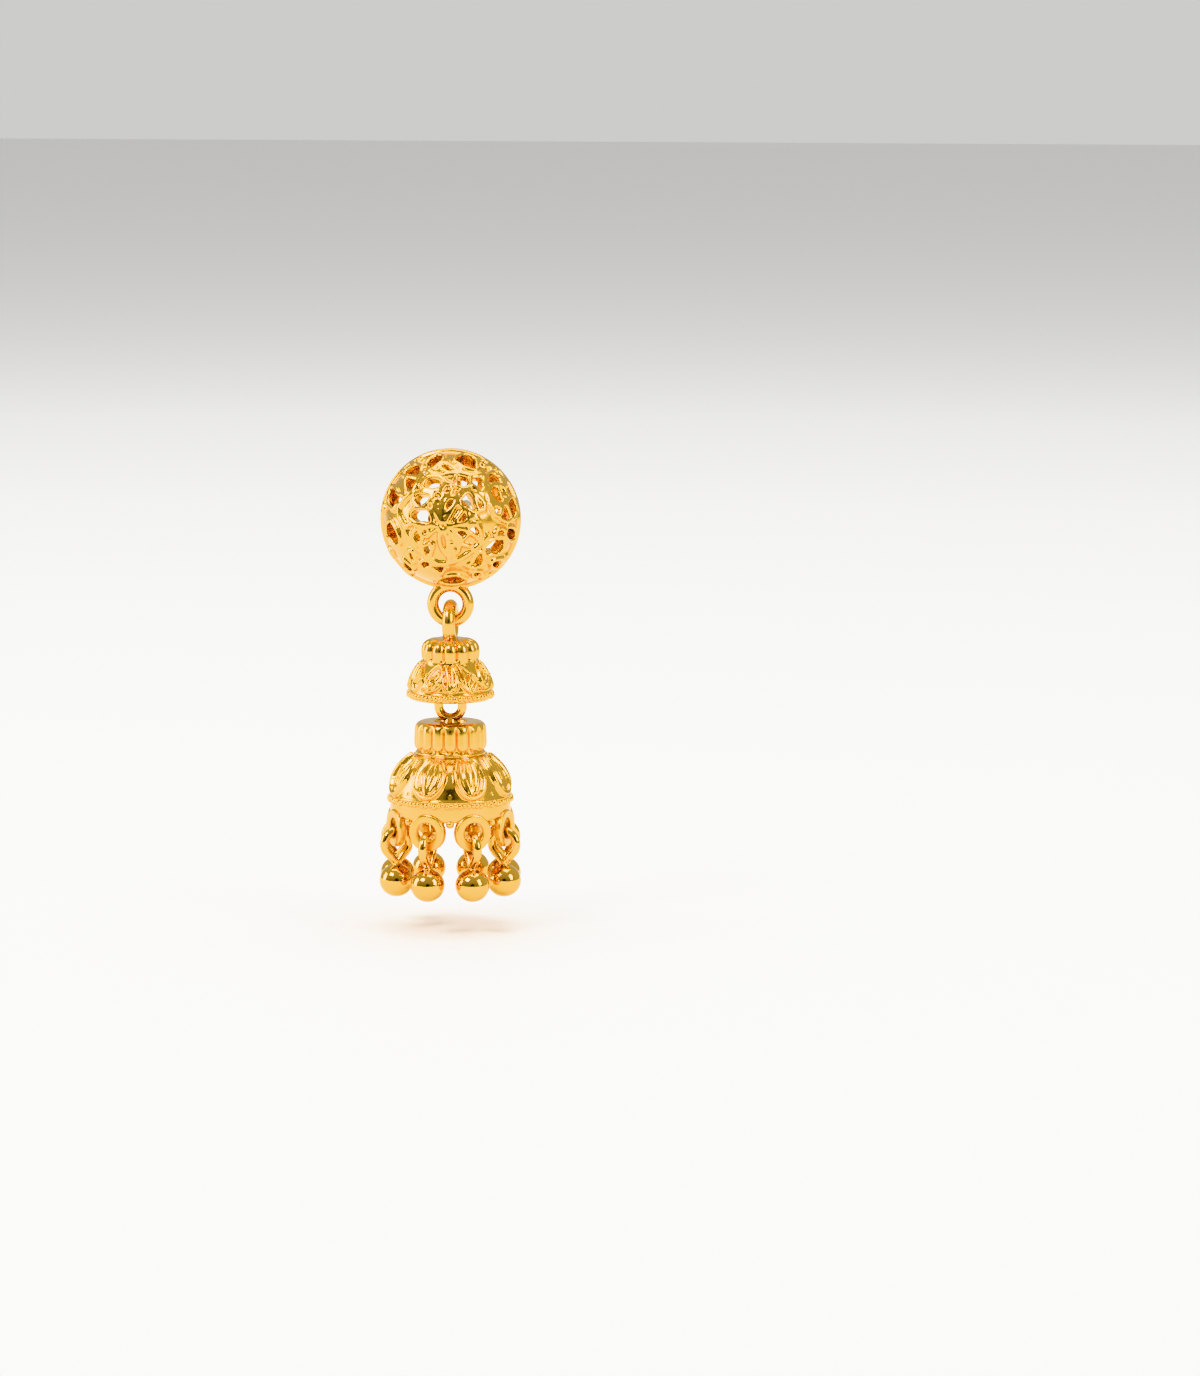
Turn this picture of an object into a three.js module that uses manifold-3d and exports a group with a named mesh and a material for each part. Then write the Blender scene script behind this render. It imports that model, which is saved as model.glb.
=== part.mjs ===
// A jhumka earring in polished high-carat gold, in millimetres, +Z up, front towards -Y.
// A pierced half ball sits on the ear lobe. Two bells hang below it, one under the other, on
// interlocking wire loops, and ten small drops hang round the rim of the lower bell.
// The origin is where the ear post leaves the flat back of the half ball.
import * as THREE from "three";
import { mergeVertices } from "three/addons/utils/BufferGeometryUtils.js";
import Module from "manifold-3d";

const wasm = await Module();
wasm.setup();

// Shared clearances
const hangGap = 0.3; // between a loop and the wire that it hangs on
const dropGap = 0.2; // between a drop's loop and its flat ring
const solderDepth = 0.4; // how far a soldered foot sinks into its seat

// Half ball on the ear
const ball = {
  radius: 6, // outside of the raised metal
  relief: 0.14, // height of the raised lines above the shell
  wall: 0.65,
  band: 0.72, // width of the plain band at the back edge
  bandWall: 0.7,
  columns: 32,
  cutReach: 1, // how far the plugs that cut the openings reach past the wall
};
const strap = { width: 1.8, thickness: 0.7, discRadius: 1.9 };
const post = { radius: 0.45, length: 11, clearance: 0.2, headRadius: 1.1, headThickness: 0.4 };

// Wire loops that join the three main pieces, given by the middle of the wire
const ballRing = { wire: 0.49, radius: 1.51, drop: 7.23 };
const upperLoop = { wire: 0.55, radius: 1.4 };
const innerLoop = { wire: 0.4, radius: 1.1, aboveRim: 1.06 }; // hangs in the upper bell's hollow
const lowerLoop = { wire: 0.38, radius: 1, straight: 0.68, neckRadius: 0.5 }; // long link on the lower bell

// Upper bell
const upper = {
  collarRadius: 2.43,
  collarHeight: 1.95,
  domeRadius: 3.6,
  domeHeight: 2.65,
  rimHeight: 0.66,
  rimRadius: 3.7,
  wall: 0.5,
  loopStand: 1.3, // from the middle of the loop down to the collar's top
  ribs: 12,
  columnsPerRib: 4,
  relief: 0.2,
  stemRadius: 0.5,
};

// Lower bell
const lower = {
  collarRadius: 3,
  collarHeight: 2.9,
  edgeRound: 0.4,
  domeRadius: 5.2,
  domeHeight: 3.4,
  rimHeight: 0.6,
  rimRadius: 5.34,
  bandRadius: 5.15,
  bandHeight: 1.15,
  wall: 0.5,
  recessRadius: 1.35,
  recessDepth: 0.42,
  ribs: 16,
  columnsPerRib: 4,
  petals: 8,
  ribRelief: 0.22,
  petalRelief: 0.34,
};
const collarBelowLoop = 0.26; // from the middle of the long link's lowest wire down to the flat top
const bellTurn = THREE.MathUtils.degToRad(6.5); // turn of the bells' pattern on their loops

// Flat rings under the band and the drops that hang in them
const flatRing = { outer: 1.6, hole: 0.85, thickness: 0.7, bevel: 0.12, sides: 10, belowBand: 0.85 };
const flatRingCircle = 4.95; // radius of the circle that the flat rings stand on
const drop = {
  wire: 0.38,
  loopRadius: 1.1,
  loopTaper: 1.63, // from the middle of the round top down to the foot of the pear
  neckRadius: 0.42,
  neckLength: 0.5,
  ballRadius: 1.45,
  ballHeight: 2.8,
};

const wireSides = 6;
const loopSteps = 14;
const dropWireSides = 5;
const beadSides = 10;

// Outlines of the half ball's openings: degrees to the right and degrees up from its front pole
const openings = [
  [[-20, 59], [-13, 71.5], [-7, 70], [-8, 50.5], [-18, 55.5]],
  [[-4.5, 53.5], [-1, 58], [8.5, 48.5], [7, 47]],
  [[-46.5, 49.5], [-34.5, 59], [-28, 55.5], [-25.5, 44]],
  [[-40, 42.5], [-37.5, 44], [-29, 42.5], [-27, 38], [-31, 30], [-35.5, 30.5]],
  [[-60, 36.5], [-47.5, 26.5], [-39, 24], [-39.5, 19.5], [-50.5, 14.5], [-59, 18.5], [-62.5, 26]],
  [[-23, 26.5], [-13, 25.5], [-13, 21], [-21.5, 16.5], [-25.5, 21.5]],
  [[-16, 41.5], [-3.5, 40.5], [-0.5, 36], [-5.5, 30.5], [-18.5, 32.5]],
  [[2.5, 35.5], [5.5, 32], [2, 26], [-2.5, 30]],
  [[-26, 12], [-13.5, 12.5], [-10, 3.5], [-13.5, 2], [-28, 6]],
  [[-6, 20], [-2, 19], [-1, 9], [-4, 14]],
  [[3.5, 20.5], [9, 22.5], [7, 16.5], [1, 11]],
  [[8.5, 64], [17, 74.5], [28.5, 69], [28, 53], [17, 56]],
  [[12, 44], [16, 46.5], [22.5, 45], [19, 34], [12.5, 36]],
  [[24, 44.5], [35.5, 47.5], [35, 29.5], [25, 37.5]],
  [[44, 50], [51, 52], [61.5, 45], [58, 40.5], [41, 37.5]],
  [[44.5, 37], [48.5, 37], [52.5, 27], [56.5, 24.5], [53.5, 21], [49, 22], [43, 30]],
  [[36, 31], [45, 19], [53.5, 14.5], [50.5, 9.5], [46, 10], [40, 19.5], [36.5, 19.5]],
  [[26, 27.5], [32, 20.5], [35, 20], [32, 14.5]],
  [[20, 31], [25.5, 23], [27.5, 12], [16.5, 17], [12.5, 25]],
  [[71.5, 26.5], [76, 21.5], [77.5, 15.5], [75.5, 8.5], [70, 4.5], [64, 16.5], [64, 21]],
  [[55, 15], [59.5, 16.5], [65, 4.5], [60, 3], [52, 7]],
  [[17, 11.5], [19, 11], [19.5, 3], [12.5, 3]],
  [[-54, 0], [-49, -3.5], [-43, -14], [-43.5, -18.5], [-48.5, -20.5], [-63, -14.5], [-61, -4]],
  [[-17.5, -20.5], [-9.5, -17.5], [-13, -29.5], [-15, -28]],
  [[-18, -33.5], [-13, -33.5], [-12, -36], [-20, -40]],
  [[-10.5, -36.5], [1.5, -37.5], [-4.5, -47], [-10, -40.5]],
  [[10.5, -22], [6.5, -22], [6.5, -17.5], [11, -17.5]],
  [[-41.5, -38], [-33.5, -44.5], [-35, -48.5], [-40.5, -52], [-44, -47]],
  [[-32.5, -27], [-29.5, -25.5], [-28, -32.5], [-31, -34]],
  [[-22.5, -4.5], [-19.5, -6], [-20.5, -14.5], [-25.5, -9.5]],
  [[-7.5, -58], [-3, -53], [8.5, -50], [18.5, -58], [15, -62.5], [7.5, -64], [-4.5, -61.5]],
  [[25.5, 1.5], [31, -7.5], [30, -11], [21.5, -3]],
  [[26.5, 2], [24, 2], [24, 6.5], [26.5, 6.5]],
  [[10, -3.5], [20, -5], [18.5, -7.5], [16, -9.5]],
  [[5.5, -8.5], [9.5, -14], [8.5, -15], [5, -15.5]],
  [[47.5, -10], [50, -6.5], [56.5, -9.5], [50.5, -12.5]],
  [[63, -5.5], [70.5, -8], [75, -12.5], [75, -18], [71, -20.5], [60, -12.5], [60, -8.5]],
  [[50, -12.5], [54.5, -15], [57, -22], [50, -30], [44, -28], [40.5, -29], [37.5, -27], [38.5, -19]],
  [[22, -36.5], [26, -34.5], [30, -26], [33.5, -27.5], [34.5, -35.5], [31.5, -38.5], [23, -39]],
  [[45.5, -41.5], [48.5, -39], [60, -45.5], [59.5, -50], [55, -53.5]],
  [[25.5, -47.5], [33.5, -50], [29.5, -56.5], [27.5, -53.5]],
];

// Raised lines on the half ball in the same degrees: the flower's petals, and the scalloped frame
const flowerLines = [
  [[-1, 2], [-7.5, 14.5], [-8.5, 29], [-4, 31.5]],
  [[0, 2.5], [-1, 23.5], [2.5, 27.5]],
  [[2, 2.5], [10, 17], [21.5, 29.5], [29, 27], [34, 20], [35.5, 12.5]],
  [[-2.5, 0], [-26, 1], [-34, -2]],
  [[-2.5, -1.5], [-14.5, -10.5]],
  [[-1, -3], [-2, -17], [5.5, -27.5]],
  [[1, -3], [9.5, -23.5]],
  [[3, -2], [19.5, -17.5], [24.5, -18]],
  [[3.5, 0.5], [17, 2.5], [26.5, 7]],
  [[3.5, -0.5], [20.5, -4], [26, -8.5]],
];
const frameLines = [
  [[-43, 14], [-28.5, 30], [-20, 48.5], [-4, 44], [28.5, 45.5], [36, 49.5], [38, 29]],
  [[-43, 14], [-41.5, 6], [-28, -16.5], [-5.5, -34], [7, -33], [40.5, -9]],
];
const lineHalfWidth = 1.6; // degrees

// Outline of each bell's dome from its waist down: share of the dome's height and radius
const upperDome = [
  [0, 0.69],
  [0.1, 0.75],
  [0.24, 0.82],
  [0.42, 0.89],
  [0.6, 0.94],
  [0.8, 0.98],
  [1, 1],
];
const lowerDome = [
  [0, 0.62],
  [0.08, 0.68],
  [0.17, 0.745],
  [0.27, 0.81],
  [0.38, 0.865],
  [0.5, 0.91],
  [0.62, 0.945],
  [0.74, 0.965],
  [0.87, 0.985],
  [1, 1],
];

const gold = (name, colour, roughness) =>
  new THREE.MeshStandardMaterial({ name, color: colour, roughness, metalness: 1 });
const polishedGold = gold("polished_gold", 0xdda53f, 0.18);
const mirrorGold = gold("mirror_gold", 0xdda53f, 0.1);

// Heights of the hanging pieces, worked out downwards from the half ball's ring
const hangY = -ballRing.wire;
const ringMiddleZ = -ballRing.drop;
const upperHingeZ = ringMiddleZ - ballRing.radius;
const upperLoopZ = upperHingeZ + ballRing.wire + hangGap + upperLoop.wire - upperLoop.radius;
const upperTopZ = upperLoopZ - upper.loopStand;
const upperRimZ = upperTopZ - upper.collarHeight - upper.domeHeight - upper.rimHeight;
const innerLoopZ = upperRimZ + innerLoop.aboveRim;
const lowerHingeZ = innerLoopZ - innerLoop.radius + innerLoop.wire + hangGap + lowerLoop.wire;
const lowerLoopFootZ = lowerHingeZ - 2 * lowerLoop.radius - lowerLoop.straight;
const lowerTopZ = lowerLoopFootZ - collarBelowLoop;
const lowerWaistZ = lowerTopZ - lower.collarHeight;
const bandTopZ = lowerWaistZ - lower.domeHeight - lower.rimHeight;
const bandFootZ = bandTopZ - lower.bandHeight;
const flatRingZ = bandFootZ - flatRing.belowBand;

// A closed geometry from corners and triangles of corner numbers
function closedGeometry(corners, triangles) {
  const geometry = new THREE.BufferGeometry();
  geometry.setAttribute("position", new THREE.Float32BufferAttribute(corners.flat(), 3));
  geometry.setIndex(triangles.flat());
  return geometry;
}

function solidFrom(geometry) {
  const bare = geometry.clone();
  bare.deleteAttribute("normal");
  bare.deleteAttribute("uv");
  const merged = mergeVertices(bare, 1e-4);
  return new wasm.Manifold(
    new wasm.Mesh({
      numProp: 3,
      vertProperties: new Float32Array(merged.attributes.position.array),
      triVerts: new Uint32Array(merged.index.array),
    }),
  );
}

function geometryFrom(solid) {
  const { vertProperties, triVerts } = solid.getMesh();
  const geometry = new THREE.BufferGeometry();
  geometry.setAttribute("position", new THREE.BufferAttribute(vertProperties, 3));
  geometry.setIndex(new THREE.BufferAttribute(triVerts, 1));
  geometry.computeVertexNormals();
  return geometry;
}

const joined = (solids) => solids.reduce((whole, next) => whole.add(next));

// Turns a profile of [radius, height, share of relief] once round the Z axis. The profile starts
// and ends on the axis, and relief(turn, height) stands out along it.
function turned(profile, columns, start = 0, relief = () => 0) {
  const corners = [];
  const triangles = [];
  const first = [0, 0, profile[0][1]];
  const last = [0, 0, profile[profile.length - 1][1]];
  const rings = profile.slice(1, -1);
  corners.push(first);
  rings.forEach(([radius, height, share = 0]) => {
    for (let j = 0; j < columns; j++) {
      const turn = start + (j / columns) * 2 * Math.PI;
      const out = radius + (share ? share * relief(turn, height) : 0);
      corners.push([out * Math.cos(turn), out * Math.sin(turn), height]);
    }
  });
  corners.push(last);
  const at = (i, j) => 1 + i * columns + (j % columns);
  const end = corners.length - 1;
  for (let j = 0; j < columns; j++) {
    triangles.push([0, at(0, j), at(0, j + 1)]);
    for (let i = 0; i < rings.length - 1; i++) {
      triangles.push([at(i, j), at(i + 1, j), at(i + 1, j + 1)]);
      triangles.push([at(i, j), at(i + 1, j + 1), at(i, j + 1)]);
    }
    triangles.push([end, at(rings.length - 1, j + 1), at(rings.length - 1, j)]);
  }
  return closedGeometry(corners, triangles);
}

// A round wire bent along a closed flat path in the XZ plane
function bentWire(path, wire, sides = wireSides) {
  const corners = [];
  const triangles = [];
  path.forEach(([x, z], i) => {
    const [bx, bz] = path[(i + path.length - 1) % path.length];
    const [ax, az] = path[(i + 1) % path.length];
    const length = Math.hypot(ax - bx, az - bz);
    const nx = (az - bz) / length;
    const nz = -(ax - bx) / length;
    for (let k = 0; k < sides; k++) {
      const turn = (k / sides) * 2 * Math.PI;
      const out = wire * Math.cos(turn);
      corners.push([x + nx * out, wire * Math.sin(turn), z + nz * out]);
    }
  });
  const at = (i, k) => (i % path.length) * sides + (k % sides);
  for (let i = 0; i < path.length; i++) {
    for (let k = 0; k < sides; k++) {
      triangles.push([at(i, k), at(i, k + 1), at(i + 1, k + 1)]);
      triangles.push([at(i, k), at(i + 1, k + 1), at(i + 1, k)]);
    }
  }
  return closedGeometry(corners, triangles);
}

function circlePath(radius, steps, z = 0) {
  return Array.from({ length: steps }, (_, i) => {
    const turn = (i / steps) * 2 * Math.PI;
    return [radius * Math.cos(turn), z + radius * Math.sin(turn)];
  });
}

// A direction from the half ball's centre, given in degrees to the right and up from its front pole
function direction(right, up) {
  const tilt = THREE.MathUtils.degToRad(Math.hypot(right, up));
  const around = Math.atan2(up, right);
  const side = Math.sin(tilt);
  return new THREE.Vector3(side * Math.cos(around), -Math.cos(tilt), side * Math.sin(around));
}

// The solid within closed corners and triangles, whichever way round they run
function eitherWay(corners, triangles) {
  const solid = solidFrom(closedGeometry(corners, triangles));
  if (solid.volume() > 0) {
    return solid;
  }
  return solidFrom(closedGeometry(corners, triangles.map((t) => t.reverse())));
}

// A plug of an opening's outline, between two radii of the half ball
function plug(outline, low, high) {
  const corners = [];
  for (const radius of [low, high]) {
    for (const [right, up] of outline) {
      corners.push(direction(right, up).multiplyScalar(radius).toArray());
    }
  }
  const count = outline.length;
  const flat = outline.map(([right, up]) => new THREE.Vector2(right, up));
  const triangles = [];
  for (const [a, b, c] of THREE.ShapeUtils.triangulateShape(flat, [])) {
    triangles.push([a, c, b]);
    triangles.push([count + a, count + b, count + c]);
  }
  const clockwise = THREE.ShapeUtils.isClockWise(flat);
  for (let k = 0; k < count; k++) {
    const from = clockwise ? (k + 1) % count : k;
    const to = clockwise ? k : (k + 1) % count;
    triangles.push([from, to, count + to]);
    triangles.push([from, count + to, count + from]);
  }
  return eitherWay(corners, triangles);
}

// A raised line along a path on the half ball, between two radii
function raisedLine(path, low, high) {
  const corners = [];
  const triangles = [];
  const last = path.length - 1;
  for (let i = 0; i <= last; i++) {
    const before = path[Math.max(0, i - 1)];
    const after = path[Math.min(last, i + 1)];
    const length = Math.hypot(after[0] - before[0], after[1] - before[1]);
    const across = [-(after[1] - before[1]) / length, (after[0] - before[0]) / length];
    for (const [edge, radius] of [[-1, low], [1, low], [1, high], [-1, high]]) {
      const shift = edge * lineHalfWidth;
      const point = direction(path[i][0] + shift * across[0], path[i][1] + shift * across[1]);
      corners.push(point.multiplyScalar(radius).toArray());
    }
  }
  const at = (i, k) => i * 4 + (k % 4);
  for (let i = 0; i < last; i++) {
    for (let k = 0; k < 4; k++) {
      triangles.push([at(i, k), at(i + 1, k + 1), at(i, k + 1)]);
      triangles.push([at(i, k), at(i + 1, k), at(i + 1, k + 1)]);
    }
  }
  triangles.push([at(0, 0), at(0, 1), at(0, 2)], [at(0, 0), at(0, 2), at(0, 3)]);
  triangles.push([at(last, 0), at(last, 2), at(last, 1)], [at(last, 0), at(last, 3), at(last, 2)]);
  return eitherWay(corners, triangles);
}

function ballStud() {
  const outside = ball.radius - ball.relief;
  const inside = outside - ball.wall;
  const bandTilt = Math.PI / 2 - ball.band / ball.radius;
  const arc = (radius, from, to, steps) =>
    Array.from({ length: steps + 1 }, (_, i) => {
      const tilt = from + ((to - from) * i) / steps;
      return [radius * Math.sin(tilt), radius * Math.cos(tilt)];
    });
  const shellProfile = [
    ...arc(outside, 0, bandTilt, 7),
    ...arc(ball.radius, bandTilt, Math.PI / 2, 1),
    ...arc(ball.radius - ball.bandWall, Math.PI / 2, bandTilt, 1),
    ...arc(inside, bandTilt, 0, 5),
  ];
  const shell = solidFrom(turned(shellProfile, ball.columns).rotateX(Math.PI / 2));

  const middle = (inside + outside) / 2;
  const raised = [...flowerLines, ...frameLines].map((path) => raisedLine(path, middle, ball.radius));
  const cuts = openings.map((outline) => plug(outline, inside - ball.cutReach, ball.radius + ball.cutReach));
  return joined([shell, ...raised]).subtract(joined(cuts));
}

// Back of the half ball: an upright strap across the opening, with a disc for the post
function backStrap() {
  const reach = 2 * ball.radius - ball.bandWall;
  const bar = new THREE.BoxGeometry(strap.width, strap.thickness, reach);
  const disc = new THREE.CylinderGeometry(strap.discRadius, strap.discRadius, strap.thickness, 20);
  const hole = new THREE.CylinderGeometry(
    post.radius + post.clearance,
    post.radius + post.clearance,
    2 * strap.thickness,
    12,
  );
  const strapAndDisc = solidFrom(bar).add(solidFrom(disc)).subtract(solidFrom(hole));
  return strapAndDisc.translate([0, -strap.thickness / 2, 0]);
}

function earPost() {
  const headBack = -strap.thickness - hangGap;
  const profile = [
    [0, headBack - post.headThickness],
    [post.headRadius, headBack - post.headThickness],
    [post.headRadius, headBack],
    [post.radius, headBack],
    [post.radius, post.length - post.radius],
    [post.radius / 2, post.length],
    [0, post.length],
  ];
  return turned(profile.reverse(), beadSides).rotateX(-Math.PI / 2);
}

// Rounded ribs round a collar: one hump for each rib
function ribRelief(ribs, height) {
  return (turn) => height * (Math.abs(Math.cos((ribs * (turn - bellTurn)) / 2)) - 0.5);
}

// How high a raised line stands at a distance from its middle
const ridge = (distance, width) => Math.max(0, 1 - Math.abs(distance) / width);

// Position inside one repeat of the pattern, from -1 to 1
function inRepeat(turn, repeats) {
  const step = (2 * Math.PI) / repeats;
  const place = (turn - bellTurn) / step + 0.5;
  return 2 * (place - Math.floor(place)) - 1;
}

function upperBell() {
  const columns = upper.ribs * upper.columnsPerRib;
  const waistZ = upperTopZ - upper.collarHeight;
  const domeFootZ = waistZ - upper.domeHeight;
  const collar = [
    [0.55, 0, 0],
    [0.84, 0.07, 0.5],
    [0.96, 0.25, 1],
    [1, 0.5, 1],
    [0.98, 0.8, 1],
    [0.92, 0.97, 0.3],
  ].map(([r, h, share]) => [r * upper.collarRadius, upperTopZ - h * upper.collarHeight, share]);
  const dome = upperDome.map(([h, r], i) => [
    r * upper.domeRadius,
    waistZ - h * upper.domeHeight,
    i === 0 ? 0 : 2,
  ]);
  const rim = [
    [upper.rimRadius, domeFootZ - 0.3 * upper.rimHeight],
    [upper.rimRadius, domeFootZ - 0.7 * upper.rimHeight],
    [upper.domeRadius - upper.wall / 2, upperRimZ],
    [upper.domeRadius - upper.wall, upperRimZ],
  ];
  const hollow = [...upperDome]
    .reverse()
    .filter((_, i) => i % 3 === 0)
    .map(([h, r]) => [r * upper.domeRadius - upper.wall, waistZ - h * upper.domeHeight - upper.wall / 2]);
  const ceilingZ = waistZ;
  const ribs = ribRelief(upper.ribs, upper.relief);
  const motif = (turn, height) => {
    const u = inRepeat(turn, 4);
    const t = (waistZ - height) / upper.domeHeight;
    const leaf = ridge(Math.abs(u) - 0.34 * Math.sin(Math.PI * t), 0.2);
    const scroll = ridge(Math.hypot((Math.abs(u) - 0.75) / 0.26, (t - 0.45) / 0.4) - 1, 0.5);
    return 0.5 * upper.relief * Math.max(leaf, scroll) - 0.25 * upper.relief;
  };
  const relief = (turn, height) => (height > waistZ ? ribs(turn) : motif(turn, height));
  const profile = [
    [0, upperTopZ],
    ...collar,
    ...dome,
    ...rim,
    ...hollow,
    [0, ceilingZ],
  ];
  const bell = solidFrom(turned(profile, columns, bellTurn, relief));

  const loop = bentWire(circlePath(upperLoop.radius, loopSteps), upperLoop.wire);
  const loopSolid = solidFrom(loop.rotateZ(Math.PI / 2)).translate([0, 0, upperLoopZ]);
  const inner = bentWire(circlePath(innerLoop.radius, loopSteps), innerLoop.wire);
  const innerSolid = solidFrom(inner.rotateZ(Math.PI / 2)).translate([0, 0, innerLoopZ]);
  const stemTop = ceilingZ + solderDepth / 2;
  const stemFoot = innerLoopZ + innerLoop.radius;
  const stem = new THREE.CylinderGeometry(upper.stemRadius, upper.stemRadius, stemTop - stemFoot, 8);
  const stemSolid = solidFrom(stem.rotateX(Math.PI / 2)).translate([0, 0, (stemTop + stemFoot) / 2]);
  return joined([bell, loopSolid, innerSolid, stemSolid]).translate([0, hangY, 0]);
}

// One petal of the lower bell: a raised oval line with a folded leaf inside
function petalRelief(turn, height) {
  const u = inRepeat(turn, lower.petals);
  const t = (lowerWaistZ - height) / lower.domeHeight;
  const edge = ridge(Math.hypot(u / 0.67, (t - 0.36) / 0.5) - 1, 0.4);
  const fold = t < 0.7 ? 0.5 * ridge(u, 0.25) : 0;
  return lower.petalRelief * (Math.max(edge, fold) - 0.5);
}

function flatRings() {
  const { outer, hole, thickness, bevel, sides } = flatRing;
  const half = thickness / 2;
  const section = [
    [hole, -half],
    [outer - bevel, -half],
    [outer, bevel - half],
    [outer, half - bevel],
    [outer - bevel, half],
    [hole, half],
  ];
  const outline = [...section, section[0]].map(([r, h]) => new THREE.Vector2(r, h));
  const plate = solidFrom(new THREE.LatheGeometry(outline, sides).rotateX(Math.PI));
  const upright = plate.volume() > 0 ? plate : solidFrom(new THREE.LatheGeometry(outline.reverse(), sides));
  const rings = [];
  for (let i = 0; i < lower.petals; i++) {
    const turn = dropTurn(i);
    const step = THREE.MathUtils.radToDeg(turn);
    rings.push(upright.rotate([0, 0, 90]).translate([flatRingCircle, 0, 0]).rotate([0, 0, step]));
  }
  return joined(rings).translate([0, 0, flatRingZ]);
}

// The drops hang half a step to each side of the front
function dropTurn(i) {
  return bellTurn - Math.PI / 2 + ((i + 0.5) * 2 * Math.PI) / lower.petals;
}

function lowerBell() {
  const columns = lower.ribs * lower.columnsPerRib;
  const domeFootZ = lowerWaistZ - lower.domeHeight;
  const recessFloorZ = lowerTopZ - lower.recessDepth;
  const top = [
    [0, recessFloorZ],
    [lower.recessRadius, recessFloorZ],
    [lower.recessRadius, lowerTopZ],
  ];
  const collar = [
    [lower.collarRadius - lower.edgeRound, 0, 0],
    [lower.collarRadius - 0.3 * lower.edgeRound, 0.3 * lower.edgeRound, 0.5],
    [lower.collarRadius, lower.edgeRound, 1],
    [lower.collarRadius, 0.85 * lower.collarHeight, 1],
    [0.97 * lower.collarRadius, 0.98 * lower.collarHeight, 0],
  ].map(([r, h, share]) => [r, lowerTopZ - h, share]);
  const dome = lowerDome.map(([h, r], i) => [
    r * lower.domeRadius,
    lowerWaistZ - h * lower.domeHeight,
    i === 0 ? 0 : 1,
  ]);
  const rim = [
    [lower.rimRadius, domeFootZ - 0.3 * lower.rimHeight],
    [lower.rimRadius, domeFootZ - 0.7 * lower.rimHeight],
    [lower.bandRadius, bandTopZ],
    [lower.bandRadius, bandFootZ],
    [lower.bandRadius - lower.wall, bandFootZ],
  ];
  const hollow = [...lowerDome]
    .reverse()
    .filter((_, i) => i % 3 === 0)
    .map(([h, r]) => [
      r * lower.domeRadius - lower.wall - lower.petalRelief / 2,
      lowerWaistZ - h * lower.domeHeight - lower.wall / 2,
    ]);
  const ceilingZ = recessFloorZ - lower.wall;
  const neck = [[lower.collarRadius - lower.wall, ceilingZ]];
  const ribs = ribRelief(lower.ribs, lower.ribRelief);
  const relief = (turn, height) => (height > lowerWaistZ ? ribs(turn) : petalRelief(turn, height));
  const profile = [...top, ...collar, ...dome, ...rim, ...hollow, ...neck, [0, ceilingZ]];
  const bell = solidFrom(turned(profile, columns, bellTurn, relief));
  const half = lowerLoop.straight / 2;
  const longPath = circlePath(lowerLoop.radius, loopSteps).map(([x, z]) => [x, z < 0 ? z - half : z + half]);
  const loopMiddleZ = (lowerHingeZ + lowerLoopFootZ) / 2;
  const loopSolid = solidFrom(bentWire(longPath, lowerLoop.wire)).translate([0, 0, loopMiddleZ]);
  const neckFootZ = recessFloorZ - solderDepth;
  const neckHeight = lowerLoopFootZ - neckFootZ;
  const neckShape = new THREE.CylinderGeometry(lowerLoop.neckRadius, lowerLoop.neckRadius, neckHeight, 8);
  const neckSolid = solidFrom(neckShape.rotateX(Math.PI / 2)).translate([0, 0, neckFootZ + neckHeight / 2]);
  return joined([bell, loopSolid, neckSolid, flatRings()]).translate([0, hangY, 0]);
}

// One drop: a pear-shaped loop of wire in the radial plane, a neck and a polished ball
function oneDrop() {
  const topZ = flatRingZ - flatRing.hole + dropGap + drop.wire;
  const roundZ = topZ - drop.loopRadius;
  const footZ = roundZ - drop.loopTaper;
  const tangent = Math.acos(drop.loopRadius / drop.loopTaper);
  const from = -Math.PI / 2 + tangent;
  const to = (3 * Math.PI) / 2 - tangent;
  const steps = 8;
  const path = [[0, footZ]];
  for (let i = 0; i <= steps; i++) {
    const turn = from + ((to - from) * i) / steps;
    path.push([drop.loopRadius * Math.cos(turn), roundZ + drop.loopRadius * Math.sin(turn)]);
  }
  const loop = solidFrom(bentWire(path, drop.wire, dropWireSides));
  const ballTopZ = footZ - drop.neckLength + drop.wire;
  const ballZ = ballTopZ - drop.ballHeight / 2;
  const sphere = new THREE.SphereGeometry(drop.ballRadius, beadSides, 6).rotateX(Math.PI / 2);
  const stretch = drop.ballHeight / (2 * drop.ballRadius);
  const bead = solidFrom(sphere.scale(1, 1, stretch)).translate([0, 0, ballZ]);
  const neckHeight = footZ - ballTopZ + drop.wire;
  const neck = new THREE.CylinderGeometry(drop.neckRadius, drop.neckRadius, neckHeight, dropWireSides);
  const neckSolid = solidFrom(neck.rotateX(Math.PI / 2));
  return joined([loop, bead, neckSolid.translate([0, 0, footZ - neckHeight / 2])]);
}

function named(name, geometry, material) {
  const mesh = new THREE.Mesh(geometry, material);
  mesh.name = name;
  return mesh;
}

const earring = new THREE.Group();

// Worn on the ear
const stud = new THREE.Group();
const studRing = solidFrom(bentWire(circlePath(ballRing.radius, loopSteps), ballRing.wire));
const studSolid = joined([
  ballStud(),
  backStrap(),
  studRing.translate([0, hangY, ringMiddleZ]),
]);
stud.add(named("ball_stud", geometryFrom(studSolid), polishedGold));
stud.add(named("ear_post", earPost(), polishedGold));
earring.add(stud);

// Hanging bells
earring.add(named("upper_bell", geometryFrom(upperBell()), polishedGold));
earring.add(named("lower_bell", geometryFrom(lowerBell()), polishedGold));

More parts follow.
